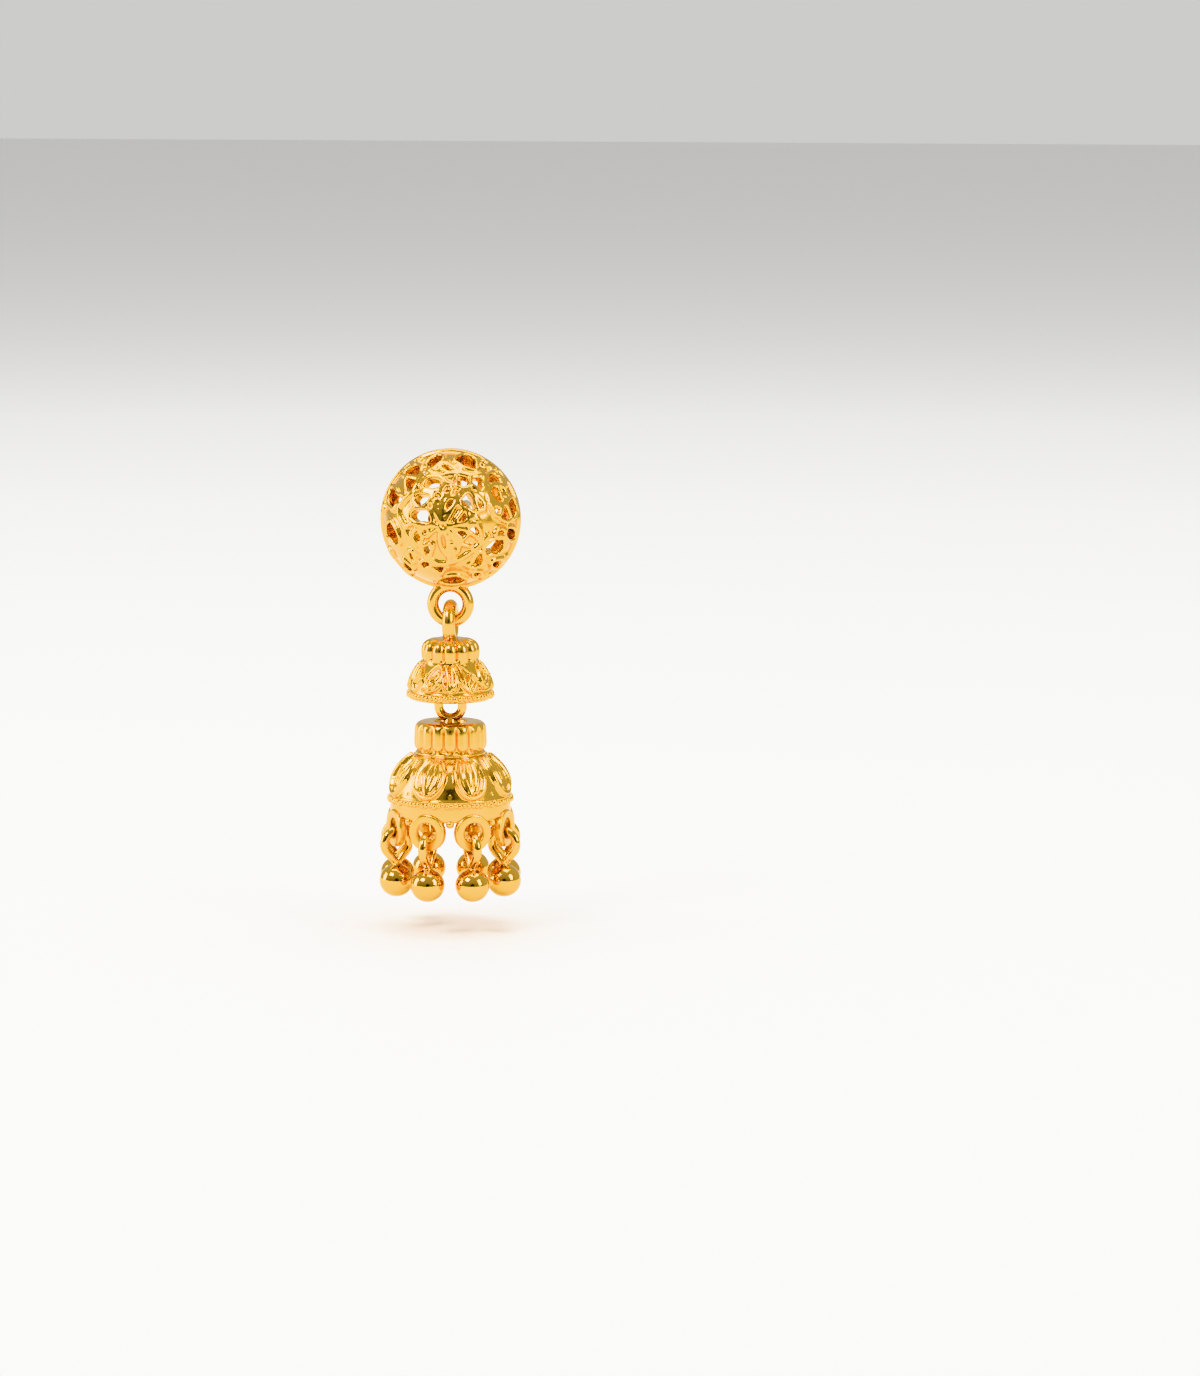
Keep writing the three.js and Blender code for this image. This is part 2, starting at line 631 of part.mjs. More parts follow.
// Ten drops round the lower bell
const dropGeometry = geometryFrom(oneDrop());
for (let i = 0; i < lower.petals; i++) {
  const piece = named("drop_" + String(i + 1).padStart(2, "0"), dropGeometry, mirrorGold);
  const turn = dropTurn(i);
  piece.rotation.z = turn;
  piece.position.set(flatRingCircle * Math.cos(turn), hangY + flatRingCircle * Math.sin(turn), 0);
  earring.add(piece);
}

export default earring;
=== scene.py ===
# %% [markdown]
# # A jhumka earring in polished gold
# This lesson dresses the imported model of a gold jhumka: a pierced half ball, two bells on
# interlocking loops and eight small drops. Every piece is modelled here with fine detail, in the
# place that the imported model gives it. First the frame is loaded, and its box is kept for later.

# %% Load the frame
import math

import bpy
import numpy as np
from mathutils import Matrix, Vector


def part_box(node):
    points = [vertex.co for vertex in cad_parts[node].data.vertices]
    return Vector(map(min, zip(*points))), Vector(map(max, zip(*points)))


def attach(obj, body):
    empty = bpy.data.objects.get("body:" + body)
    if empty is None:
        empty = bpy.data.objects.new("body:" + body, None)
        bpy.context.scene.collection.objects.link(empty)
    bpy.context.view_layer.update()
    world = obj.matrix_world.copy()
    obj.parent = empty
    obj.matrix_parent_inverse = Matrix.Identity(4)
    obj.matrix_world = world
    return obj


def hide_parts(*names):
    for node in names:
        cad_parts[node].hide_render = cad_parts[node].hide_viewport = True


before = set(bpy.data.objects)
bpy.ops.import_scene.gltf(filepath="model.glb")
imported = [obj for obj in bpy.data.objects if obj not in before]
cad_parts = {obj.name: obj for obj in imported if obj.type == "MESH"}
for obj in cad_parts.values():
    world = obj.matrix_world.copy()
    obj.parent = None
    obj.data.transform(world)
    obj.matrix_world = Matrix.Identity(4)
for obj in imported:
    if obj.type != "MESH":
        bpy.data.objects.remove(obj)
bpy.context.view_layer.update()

# %% [markdown]
# ## Working in millimetres
# A jewel is far too small for Blender's own tolerances in metres, so each piece is modelled with one
# Blender unit to the millimetre, and shrunk a thousand times when it is finished. Places are read
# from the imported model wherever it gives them.

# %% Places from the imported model
MM = 0.001


def millimetres(node):
    """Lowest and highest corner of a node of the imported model, in millimetres."""
    low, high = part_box(node)
    return [c / MM for c in low], [c / MM for c in high]


lower_low, lower_high = millimetres("lower_bell")
drop_low, drop_high = millimetres("drop_01")
print("lower bell from", round(lower_low[2], 2), "to", round(lower_high[2], 2))
print("drops from", round(drop_low[2], 2), "to", round(drop_high[2], 2))

# %% [markdown]
# ## Loops and heights
# The ball and the bells hang from each other on round wire loops. Each loop passes through the one
# above it with a small gap, so every height below the ball follows from the loops' own sizes, and
# the whole chain is worked out once, from the top down.

# %% Loops and the heights that follow from them
HANG_GAP = 0.3
BALL_RING = dict(wire=0.49, radius=1.51)
UPPER_LOOP = dict(wire=0.55, radius=1.4)
INNER_LOOP = dict(wire=0.4, radius=1.1)
LONG_LINK = dict(wire=0.38, radius=1.0, straight=0.68)
FLAT_RING = dict(outer=1.6, hole=0.85, thickness=0.7)
BALL_RING_Z = -7.23
UPPER_COLLAR_DROP = 1.3
INNER_LOOP_DROP = 4.2
LOWER_COLLAR_DROP = 0.26

HANG_Y = -BALL_RING["wire"]
UPPER_HINGE_Z = BALL_RING_Z - BALL_RING["radius"]
UPPER_LOOP_Z = UPPER_HINGE_Z + BALL_RING["wire"] + HANG_GAP + UPPER_LOOP["wire"] - UPPER_LOOP["radius"]
UPPER_TOP_Z = UPPER_LOOP_Z - UPPER_COLLAR_DROP
INNER_LOOP_Z = UPPER_TOP_Z - INNER_LOOP_DROP
INNER_FOOT_Z = INNER_LOOP_Z - INNER_LOOP["radius"]
LOWER_HINGE_Z = INNER_FOOT_Z + INNER_LOOP["wire"] + HANG_GAP + LONG_LINK["wire"]
LINK_FOOT_Z = LOWER_HINGE_Z - 2 * LONG_LINK["radius"] - LONG_LINK["straight"]
LOWER_TOP_Z = LINK_FOOT_Z - LOWER_COLLAR_DROP
FLAT_RING_Z = lower_low[2] + FLAT_RING["outer"]
print("upper bell top", round(UPPER_TOP_Z, 2), "lower bell top", round(LOWER_TOP_Z, 2))
print("flat rings at", round(FLAT_RING_Z, 2))

# %% [markdown]
# ## Helpers
# Operators work on what is selected and active, so each step first picks one object alone. A piece
# is turned and moved as an object, and its place is then applied, so that it ends up in the mesh.


# %% Picking, joining and placing
def only(obj):
    """Leaves the object alone selected and active, in object mode."""
    if bpy.context.mode != "OBJECT":
        bpy.ops.object.mode_set(mode="OBJECT")
    bpy.ops.object.select_all(action="DESELECT")
    obj.select_set(True)
    bpy.context.view_layer.objects.active = obj
    return obj


def edit(obj):
    """Opens the object in edit mode with everything selected."""
    only(obj)
    bpy.ops.object.mode_set(mode="EDIT")
    bpy.ops.mesh.select_all(action="SELECT")


def leave_edit():
    bpy.ops.object.mode_set(mode="OBJECT")


def new_primitive(name, add, **options):
    """Adds a primitive with nothing else selected and names it."""
    if bpy.context.mode != "OBJECT":
        bpy.ops.object.mode_set(mode="OBJECT")
    bpy.ops.object.select_all(action="DESELECT")
    add(**options)
    obj = bpy.context.object
    obj.name = name
    return obj


def join(name, objects):
    """Joins the objects into the first one."""
    only(objects[0])
    for obj in objects:
        obj.select_set(True)
    bpy.ops.object.join()
    objects[0].name = name
    return objects[0]


def place(obj, move=(0, 0, 0), turn=(0, 0, 0), scale=(1, 1, 1)):
    """Puts the object in place and applies it, so that the place is in the mesh."""
    only(obj)
    obj.location = move
    obj.rotation_euler = turn
    obj.scale = scale
    bpy.ops.object.transform_apply(location=True, rotation=True, scale=True)
    return obj


# %% Modifiers and normals
def apply_modifier(obj, kind, **settings):
    """Adds a modifier with its settings and applies it."""
    only(obj)
    modifier = obj.modifiers.new(kind.title(), kind)
    for key, value in settings.items():
        setattr(modifier, key, value)
    bpy.ops.object.modifier_apply(modifier=modifier.name)
    return obj


def tidy_normals(obj):
    """Merges doubled vertices and points all faces outwards."""
    edit(obj)
    bpy.ops.mesh.remove_doubles(threshold=1e-4)
    bpy.ops.mesh.normals_make_consistent(inside=False)
    leave_edit()
    return obj


# %% [markdown]
# A round piece is drawn as half of its outline, vertex by vertex, and then spun round the Z axis. A
# few points are enough for an outline, because a soft curve is laid through them first.


# %% Soft lines, spun pieces and wire rings
def smooth_line(points, spacing, closed=False):
    """A soft curve through the points, as closely spaced points."""
    line = []
    count = len(points)
    for i in range(count if closed else count - 1):
        near = [(i + k) % count if closed else max(0, min(count - 1, i + k)) for k in (-1, 0, 1, 2)]
        a, b, c, d = (np.array(points[k], float) for k in near)
        steps = max(1, round(float(np.linalg.norm(c - b)) / spacing))
        for k in range(steps):
            t = k / steps
            curve = 2 * b + (c - a) * t + (2 * a - 5 * b + 4 * c - d) * t**2
            curve += (3 * b - a - 3 * c + d) * t**3
            line.append(tuple(curve / 2))
    if not closed:
        line.append(tuple(points[-1]))
    return line


def spun(name, outline, steps):
    """Extrudes an outline of radius and height from a single vertex, and spins it round Z."""
    obj = new_primitive(name, bpy.ops.mesh.primitive_plane_add, size=1)
    edit(obj)
    bpy.ops.mesh.merge(type="CENTER")
    leave_edit()
    radius, height = outline[0]
    place(obj, move=(radius, 0, height))
    edit(obj)
    for (r0, z0), (r1, z1) in zip(outline, outline[1:]):
        step = {"value": (r1 - r0, 0, z1 - z0)}
        bpy.ops.mesh.extrude_vertices_move(TRANSFORM_OT_translate=step)
    bpy.ops.mesh.select_all(action="SELECT")
    bpy.ops.mesh.spin(steps=steps, angle=2 * math.pi, center=(0, 0, 0), axis=(0, 0, 1))
    leave_edit()
    return tidy_normals(obj)


def wire_ring(name, ring, middle, across_view, sides=20, steps=72):
    """A round wire ring: in the XZ plane when it faces the viewer, else in the YZ plane."""
    turn = (math.pi / 2, 0, 0) if across_view else (math.pi / 2, 0, math.pi / 2)
    obj = new_primitive(
        name,
        bpy.ops.mesh.primitive_torus_add,
        major_radius=ring["radius"],
        minor_radius=ring["wire"],
        major_segments=steps,
        minor_segments=sides,
    )
    return place(obj, move=middle, turn=turn)


# %% [markdown]
# Fine work such as cast relief moves thousands of vertices at once, so the mesh is also read and
# written as one array. Every finished piece is shrunk to metres, shaded smooth up to a crease angle,
# given its material and hung on its body's empty, and the imported model's node that it stands for is
# hidden.


# %% Vertices as arrays, and finishing
def corners_of(obj):
    flat = np.empty(len(obj.data.vertices) * 3)
    obj.data.vertices.foreach_get("co", flat)
    return flat.reshape(-1, 3)


def normals_of(obj):
    flat = np.empty(len(obj.data.vertices) * 3)
    obj.data.vertices.foreach_get("normal", flat)
    return flat.reshape(-1, 3)


def set_corners(obj, corners):
    obj.data.vertices.foreach_set("co", corners.ravel())
    obj.data.update()


def finish(obj, body, node, material, angle=60):
    """Shrinks a piece from millimetres to metres, gives it its material, hides the frame's part that it
    stands for and hangs it on its body's empty.
    """
    place(obj, scale=(MM, MM, MM))
    only(obj)
    bpy.ops.object.shade_smooth_by_angle(angle=math.radians(angle))
    obj.data.materials.clear()
    obj.data.materials.append(material)
    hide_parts(node)
    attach(obj, body)
    triangles = sum(len(face.vertices) - 2 for face in obj.data.polygons)
    print(obj.name, triangles, "triangles")
    return obj


# %% [markdown]
# ## Gold
# High-carat gold is a deep warm yellow that reflects everything round it. Three finishes show on the
# earring: the polished ball and bells, the flat rings, which keep a satin bloom from the file, and
# the drops, which are bright as mirrors. One recipe makes them all. It gets a faint unevenness,
# because hand finishing never leaves a perfect mirror, and painted shade in the hollows: a deeper
# orange colour that stands in for the gold's reflections of itself darkening its recesses.

# %% Gold finishes
GOLD_COLOUR = (0.83, 0.50, 0.10)
# Painted shade: the deeper orange colour that the hollows are tinted with
PAINTED_SHADE_COLOUR = (0.84, 0.42, 0.045)
# The satin fades in between these heights, below which only the flat rings are left
SATIN_FROM = FLAT_RING_Z + 1.3
SATIN_FULL = FLAT_RING_Z + 0.9


def gold(name, roughness, unevenness, grain, satin=0.0):
    """A gold with painted shade, a deeper orange, in its hollows and a hand-finished surface, satin at the
    flat rings' height.
    """
    material = bpy.data.materials.new(name)
    material.use_nodes = True
    nodes = material.node_tree.nodes
    links = material.node_tree.links
    shader = nodes["Principled BSDF"]
    shader.inputs["Metallic"].default_value = 1.0
    place_on_piece = nodes.new("ShaderNodeTexCoord")
    clouds = nodes.new("ShaderNodeTexNoise")
    clouds.inputs["Scale"].default_value = 900
    clouds.inputs["Detail"].default_value = 3
    links.new(place_on_piece.outputs["Object"], clouds.inputs["Vector"])
    sheen = nodes.new("ShaderNodeMapRange")
    sheen.inputs["To Min"].default_value = roughness - unevenness
    sheen.inputs["To Max"].default_value = roughness + unevenness
    links.new(clouds.outputs["Fac"], sheen.inputs["Value"])
    height = nodes.new("ShaderNodeSeparateXYZ")
    links.new(place_on_piece.outputs["Object"], height.inputs["Vector"])
    filed = nodes.new("ShaderNodeMapRange")
    filed.inputs["From Min"].default_value = SATIN_FROM * MM
    filed.inputs["From Max"].default_value = SATIN_FULL * MM
    filed.inputs["To Max"].default_value = satin
    links.new(height.outputs["Z"], filed.inputs["Value"])
    dull = nodes.new("ShaderNodeMath")
    links.new(sheen.outputs["Result"], dull.inputs[0])
    links.new(filed.outputs["Result"], dull.inputs[1])
    links.new(dull.outputs["Value"], shader.inputs["Roughness"])
    # Painted shade: hollows, where pointiness is low, are tinted towards the deeper orange colour
    edges = nodes.new("ShaderNodeNewGeometry")
    hollow = nodes.new("ShaderNodeMapRange")
    hollow.inputs["From Min"].default_value = 0.38
    hollow.inputs["From Max"].default_value = 0.52
    links.new(edges.outputs["Pointiness"], hollow.inputs["Value"])
    painted_shade_tint = nodes.new("ShaderNodeMix")
    painted_shade_tint.data_type = "RGBA"
    painted_shade_tint.inputs["A"].default_value = (*PAINTED_SHADE_COLOUR, 1)
    painted_shade_tint.inputs["B"].default_value = (*GOLD_COLOUR, 1)
    links.new(hollow.outputs["Result"], painted_shade_tint.inputs["Factor"])
    links.new(painted_shade_tint.outputs["Result"], shader.inputs["Base Color"])
    scratches = nodes.new("ShaderNodeTexNoise")
    scratches.inputs["Scale"].default_value = grain
    scratches.inputs["Detail"].default_value = 4
    links.new(place_on_piece.outputs["Object"], scratches.inputs["Vector"])
    bump = nodes.new("ShaderNodeBump")
    bump.inputs["Strength"].default_value = 0.12
    bump.inputs["Distance"].default_value = 0.00006
    links.new(scratches.outputs["Fac"], bump.inputs["Height"])
    links.new(bump.outputs["Normal"], shader.inputs["Normal"])
    return material


polished = gold("polished_gold", roughness=0.16, unevenness=0.04, grain=1500, satin=0.12)
mirror = gold("mirror_gold", roughness=0.07, unevenness=0.03, grain=4000)
print("finishes:", polished.name, mirror.name)

# %% [markdown]
# ## The half ball
# The stud is a hollow half ball with a filigree of openings round a small flower. On the real piece
# thin wires are soldered over a domed sheet and the openings are sawn out. Here a domed wall is spun
# and cut with a plug for each opening, a raised wire is laid round each opening, and a fine voxel
# remesh fuses wires and wall as solder does.

# %% Sizes of the half ball
BALL_RADIUS = 6.0
BALL_RELIEF = 0.28
BALL_WALL = 0.85
BAND_WIDTH = 0.72
BAND_WALL = 0.7
STRAP_WIDTH = 1.8
STRAP_THICKNESS = 0.7
DISC_RADIUS = 1.9
POST_RADIUS = 0.45

# %% [markdown]
# Every opening is traced as a list of points on the dome, as degrees to the right and degrees up from
# its front pole. Degrees keep an outline true near the edge, where the dome turns away.

# %% Openings of the half ball
OPENINGS = [
    [
        (-20, 59), (-18.5, 65), (-13, 71.5), (-7, 70), (-6, 63.5), (-8.5, 58), (-8, 50.5), (-13, 52.5),
        (-18, 55.5),
    ],
    [(-4.5, 53.5), (-1, 58), (2.5, 55.5), (8.5, 48.5), (7, 47), (0.5, 50)],
    [
        (-46.5, 49.5), (-42, 55), (-34.5, 59), (-28, 55.5), (-26.5, 49.5), (-25.5, 44), (-29.5, 43.5),
        (-34.5, 45.5), (-41, 47),
    ],
    [
        (-40, 42.5), (-37.5, 44), (-29, 42.5), (-27, 38), (-28.5, 33.5), (-31, 30), (-35.5, 30.5),
        (-38.5, 36),
    ],
    [
        (-60, 36.5), (-52, 31.5), (-47.5, 26.5), (-39, 24), (-39.5, 19.5), (-43, 18.5), (-47, 18),
        (-50.5, 14.5), (-59, 18.5), (-62.5, 26), (-62, 32.5),
    ],
    [(-23, 26.5), (-13, 25.5), (-13, 21), (-17.5, 17.5), (-21.5, 16.5), (-25.5, 21.5)],
    [
        (-16, 41.5), (-9.5, 42), (-3.5, 40.5), (-0.5, 36), (-2.5, 32.5), (-5.5, 30.5), (-11.5, 31.5),
        (-18.5, 32.5), (-18.5, 36.5),
    ],
    [(2.5, 35.5), (5.5, 32), (4, 28.5), (2, 26), (0, 28.5), (-2.5, 30), (0, 32.5)],
    [
        (-28, 9), (-26, 12), (-20.5, 13), (-13.5, 12.5), (-11, 7.5), (-10, 3.5), (-13.5, 2),
        (-19, 3.5), (-23, 3), (-28, 6),
    ],
    [(-6, 20), (-2, 19), (-1, 14), (-1, 9), (-4, 14)],
    [(3.5, 20.5), (9, 22.5), (7, 16.5), (1.5, 10.5), (1, 11), (2.5, 16.5)],
    [
        (8.5, 64), (11.5, 70), (17, 74.5), (22.5, 72.5), (28.5, 69), (29, 61), (28, 53), (22.5, 54),
        (17, 56), (13, 59.5), (9.5, 61),
    ],
    [(7, 52.5), (10, 54), (13, 52), (10.5, 50)],
    [
        (12, 44), (16, 46.5), (22.5, 45), (21.5, 40.5), (21, 35.5), (19, 34), (15.5, 33.5), (12.5, 36),
        (12, 40),
    ],
    [
        (24, 44.5), (28, 45.5), (32, 48), (35.5, 47.5), (34.5, 41), (36, 32.5), (35, 29.5), (32, 30),
        (29.5, 34), (25, 37.5), (24, 41),
    ],
    [
        (44, 50), (51, 52), (55.5, 47.5), (61.5, 45), (58, 40.5), (52, 40.5), (46, 38.5), (41, 37.5),
        (40.5, 41),
    ],
    [
        (44.5, 37), (48.5, 37), (51, 33), (52.5, 27), (56.5, 24.5), (53.5, 21), (49, 22), (45, 25.5),
        (43, 30), (43.5, 33.5),
    ],
    [
        (36, 31), (38.5, 30), (41.5, 23), (45, 19), (52, 16.5), (53.5, 14.5), (50.5, 9.5), (46, 10),
        (43.5, 16.5), (40, 19.5), (36.5, 19.5),
    ],
    [(26, 27.5), (29.5, 23.5), (32, 20.5), (35, 20), (34.5, 17), (32, 14.5), (29, 18.5), (27.5, 23.5)],
    [
        (20, 31), (23.5, 26.5), (25.5, 23), (28, 15), (27.5, 12), (24.5, 12.5), (22, 14.5), (20, 16),
        (16.5, 17), (14.5, 21.5), (12.5, 25), (15.5, 28),
    ],
    [(71.5, 26.5), (76, 21.5), (77.5, 15.5), (75.5, 8.5), (70, 4.5), (66, 9.5), (64, 16.5), (64, 21)],
    [(55, 15), (59.5, 16.5), (63, 10), (65, 4.5), (60, 3), (57, 4), (52, 7)],
    [(17, 11.5), (19, 11), (20, 5.5), (19.5, 3), (12.5, 3), (12, 4.5), (15.5, 8)],
    [
        (-54, 0), (-49, -3.5), (-45.5, -8), (-43, -14), (-43.5, -18.5), (-48.5, -20.5), (-52.5, -19),
        (-56, -16), (-63, -14.5), (-63, -8.5), (-61, -4),
    ],
    [
        (-17.5, -20.5), (-14, -18), (-9.5, -17.5), (-11, -21.5), (-12.5, -25), (-13, -29.5),
        (-15, -28), (-16, -24),
    ],
    [(-21, -36.5), (-18, -33.5), (-13, -33.5), (-12, -36), (-16.5, -39), (-20, -40)],
    [(-10.5, -36.5), (-7, -37.5), (1.5, -37.5), (-1.5, -41), (-4.5, -47), (-7, -42.5), (-10, -40.5)],
    [
        (11.5, -20), (10.5, -22), (8.5, -23), (6.5, -22), (5.5, -19.5), (6.5, -17.5), (8.5, -16.5),
        (11, -17.5),
    ],
    [(5.5, -28.5), (7, -27), (8.5, -30.5), (6.5, -31)],
    [(-41.5, -38), (-37.5, -41), (-33.5, -44.5), (-35, -48.5), (-40.5, -52), (-44, -47)],
    [(-32.5, -27), (-29.5, -25.5), (-28, -32.5), (-31, -34), (-32.5, -31)],
    [
        (-22.5, -4.5), (-19.5, -6), (-19.5, -10), (-20.5, -14.5), (-23.5, -13.5), (-25.5, -9.5),
        (-24.5, -7),
    ],
    [(-18.5, -5.5), (-16.5, -3.5), (-13, -4), (-14.5, -7), (-17, -7)],
    [
        (-7.5, -58), (-3, -53), (4.5, -50.5), (8.5, -50), (13, -52), (18.5, -58), (15, -62.5),
        (7.5, -64), (1.5, -63), (-4.5, -61.5),
    ],
    [
        (25.5, 1.5), (28, -0.5), (30, -4.5), (31, -7.5), (30, -11), (27.5, -8), (25, -5.5), (21.5, -3),
        (23, -0.5),
    ],
    [(28, 4), (26.5, 2), (24, 2), (22.5, 4.5), (24, 6.5), (26.5, 6.5)],
    [(10, -3.5), (14.5, -4), (20, -5), (18.5, -7.5), (16, -9.5), (13.5, -7)],
    [(5.5, -8.5), (7.5, -10.5), (9.5, -14), (8.5, -15), (5, -15.5)],
    [(47.5, -10), (50, -6.5), (54, -6.5), (56.5, -9.5), (54, -12.5), (50.5, -12.5)],
    [(63, -5.5), (70.5, -8), (75, -12.5), (75, -18), (71, -20.5), (65, -18), (60, -12.5), (60, -8.5)],
    [
        (43.5, -16), (46.5, -14.5), (50, -12.5), (54.5, -15), (57, -22), (54, -26.5), (50, -30),
        (44, -28), (40.5, -29), (37.5, -27), (37, -22.5), (38.5, -19),
    ],
    [
        (22, -36.5), (26, -34.5), (27.5, -30), (30, -26), (33.5, -27.5), (34.5, -35.5), (31.5, -38.5),
        (27, -39.5), (23, -39),
    ],
    [(45.5, -41.5), (48.5, -39), (55.5, -41), (60, -45.5), (59.5, -50), (55, -53.5), (48, -47.5)],
    [(25.5, -47.5), (30, -48.5), (33.5, -50), (32, -54), (29.5, -56.5), (27.5, -53.5)],
    # Slits near the band
    [(-43, 63), (-48.5, 62), (-51, 57), (-45.5, 58)],
    [(-31.5, 69.5), (-37, 69.5), (-40, 65), (-34.5, 65)],
    [(42.5, 63.5), (39.5, 68), (34, 68.5), (37, 64)],
    [(55.5, 52.5), (53.5, 57.5), (48.5, 59), (50.5, 54)],
    [(64.5, 41), (63.5, 46.5), (59, 49), (60, 43.5)],
    [(-74.5, 18), (-77.5, 13.5), (-76, 8.5), (-73, 13)],
    [(60, -47.5), (64.5, -45), (65.5, -40), (60.5, -42.5)],
    [(37.5, -66.5), (43, -66), (45.5, -61.5), (40, -62)],
    [(-51, -57), (-48.5, -62), (-43, -63), (-45.5, -58)],
    [(-68.5, -34), (-68, -39.5), (-63.5, -42.5), (-64, -37)],
]
print(len(OPENINGS), "openings")

# %% [markdown]
# The raised lines use the same degrees: the flower's petals run out from the boss at the pole, and a
# scalloped frame with a curl goes round them.

# %% Raised lines of the half ball
FLOWER = [
    [(-1, 2), (-4.5, 8.5), (-7.5, 14.5), (-9, 22.5), (-8.5, 29), (-4, 31.5)],
    [(0, 2.5), (-1, 10), (-2, 17), (-1, 23.5), (2.5, 27.5)],
    [(2, 2.5), (6, 10), (10, 17), (15.5, 24.5), (21.5, 29.5), (29, 27), (34, 20), (35.5, 12.5)],
    [(-2.5, 0), (-8.5, 0.5), (-18, -0.5), (-26, 1), (-34, -2)],
    [(-2.5, -1.5), (-8, -4.5), (-14.5, -10.5)],
    [(-1, -3), (-3, -9.5), (-2, -17), (1, -23.5), (5.5, -27.5)],
    [(1, -3), (3.5, -11), (6, -18), (9.5, -23.5)],
    [(3, -2), (8.5, -7), (13.5, -13.5), (19.5, -17.5), (24.5, -18)],
    [(3.5, 0.5), (10, 1), (17, 2.5), (22, 6), (26.5, 7)],
    [(3.5, -0.5), (12.5, -2), (20.5, -4), (26, -8.5)],
]
FRAME = [
    [
        (-43, 14), (-36.5, 21.5), (-28.5, 30), (-25.5, 39.5), (-20, 48.5), (-12, 45.5), (-4, 44),
        (4, 45.5), (12.5, 46.5), (22, 45), (28.5, 45.5), (36, 49.5), (36, 38.5), (38, 29),
    ],
    [
        (-43, 14), (-41.5, 6), (-36.5, -1), (-32.5, -8), (-28, -16.5), (-21.5, -22.5), (-14, -28),
        (-5.5, -34), (7, -33), (17, -28), (25.5, -22), (34, -15), (40.5, -9),
    ],
    [
        (43, 35), (38.5, 27.5), (40.5, 21), (46, 17.5), (54, 17.5), (60, 21.5), (62, 29), (59.5, 37),
        (52.5, 40), (46.5, 39), (43, 35),
    ],
    [(-19.5, 48), (-11.5, 52.5), (-6, 59.5), (0, 57.5), (8.5, 51.5), (15, 47)],
    [(37.5, 49.5), (30, 45.5)],
]
print(len(FLOWER), "flower lines and", len(FRAME), "frame lines")

# %% [markdown]
# A point in degrees is put on the dome by its angle from the pole. An opening becomes a plug that
# narrows towards the ball's centre, as a saw held square to the dome cuts, and a raised line becomes
# a curve with a round bevel.


# %% From degrees to the dome
def on_dome(point, radius):
    """The place on the dome of a point given in degrees to the right and up."""
    tilt = math.radians(math.hypot(*point))
    angle = math.atan2(point[1], point[0])
    side = math.sin(tilt) * radius
    return Vector((side * math.cos(angle), -math.cos(tilt) * radius, side * math.sin(angle)))


def grown(outline, by):
    """The outline with each point moved away from its middle by some degrees."""
    points = np.array(outline, float)
    away = points - points.mean(axis=0)
    return points + by * away / np.linalg.norm(away, axis=1)[:, None]


def dome_plug(outline, low, high):
    """A plug of the outline's shape that narrows towards the dome's centre."""
    line = smooth_line(grown(outline, 0.3), 1.6, closed=True)
    obj = new_primitive(
        "plug", bpy.ops.mesh.primitive_circle_add, vertices=len(line), fill_type="NGON"
    )
    set_corners(obj, np.array([on_dome(p, high) for p in line]))
    edit(obj)
    bpy.ops.mesh.extrude_region_move()
    bpy.ops.transform.resize(value=(low / high,) * 3, center_override=(0, 0, 0))
    leave_edit()
    return obj


def dome_wire(outline, wire, radius, closed=True):
    """A round wire laid along an outline on the dome."""
    line = smooth_line(outline, 1.6, closed)
    curve = bpy.data.curves.new("wire", "CURVE")
    curve.dimensions = "3D"
    curve.bevel_depth = wire
    curve.bevel_resolution = 2
    curve.use_fill_caps = True
    spline = curve.splines.new("POLY")
    spline.points.add(len(line) - 1)
    spline.use_cyclic_u = closed
    for point, degrees in zip(spline.points, line):
        point.co = (*on_dome(degrees, radius), 1)
    obj = bpy.data.objects.new("wire", curve)
    bpy.context.collection.objects.link(obj)
    only(obj)
    bpy.ops.object.convert(target="MESH")
    return bpy.context.object


# %% [markdown]
# The wall is spun with its plain band at the open edge, then turned to face the viewer. All plugs are
# joined, so that one boolean cuts every opening.


# %% Domed wall with its openings
def ball_wall():
    """The domed wall with its plain band, spun about the ball's own axis."""
    outside = BALL_RADIUS - BALL_RELIEF
    inside = outside - BALL_WALL
    band = math.pi / 2 - BAND_WIDTH / BALL_RADIUS

    def arc(radius, start, end, steps):
        turns = [start + (end - start) * i / steps for i in range(steps + 1)]
        return [(radius * math.sin(t), radius * math.cos(t)) for t in turns]

    outline = arc(outside, 0.0, band, 40)
    outline += arc(BALL_RADIUS - 0.02, band + 0.01, math.pi / 2 - 0.012, 6)
    outline += [(BALL_RADIUS - 0.1, 0.0), (BALL_RADIUS - BAND_WALL + 0.06, 0.0)]
    outline += arc(BALL_RADIUS - BAND_WALL, math.pi / 2 - 0.012, band, 5)
    outline += arc(inside, band - 0.03, 0.0, 30)
    wall = spun("wall", outline, 128)
    return place(wall, turn=(math.pi / 2, 0, 0))


PLUG_INSIDE = BALL_RADIUS - 1.4
PLUG_OUTSIDE = BALL_RADIUS + 0.5
wall = ball_wall()
plugs = join("plugs", [dome_plug(row, PLUG_INSIDE, PLUG_OUTSIDE) for row in OPENINGS])
tidy_normals(plugs)
apply_modifier(wall, "BOOLEAN", object=plugs, operation="DIFFERENCE", solver="EXACT", use_self=True)
bpy.data.objects.remove(plugs)
print("wall cut by", len(OPENINGS), "openings:", len(wall.data.polygons), "faces")

# %% [markdown]
# The wires lie partly sunk in the wall. The ones round the openings follow the same outlines a few
# degrees further out, so that they stand at the very edge of each opening. The flower's lines lie a
# little higher than these, and the thicker frame a little deeper.

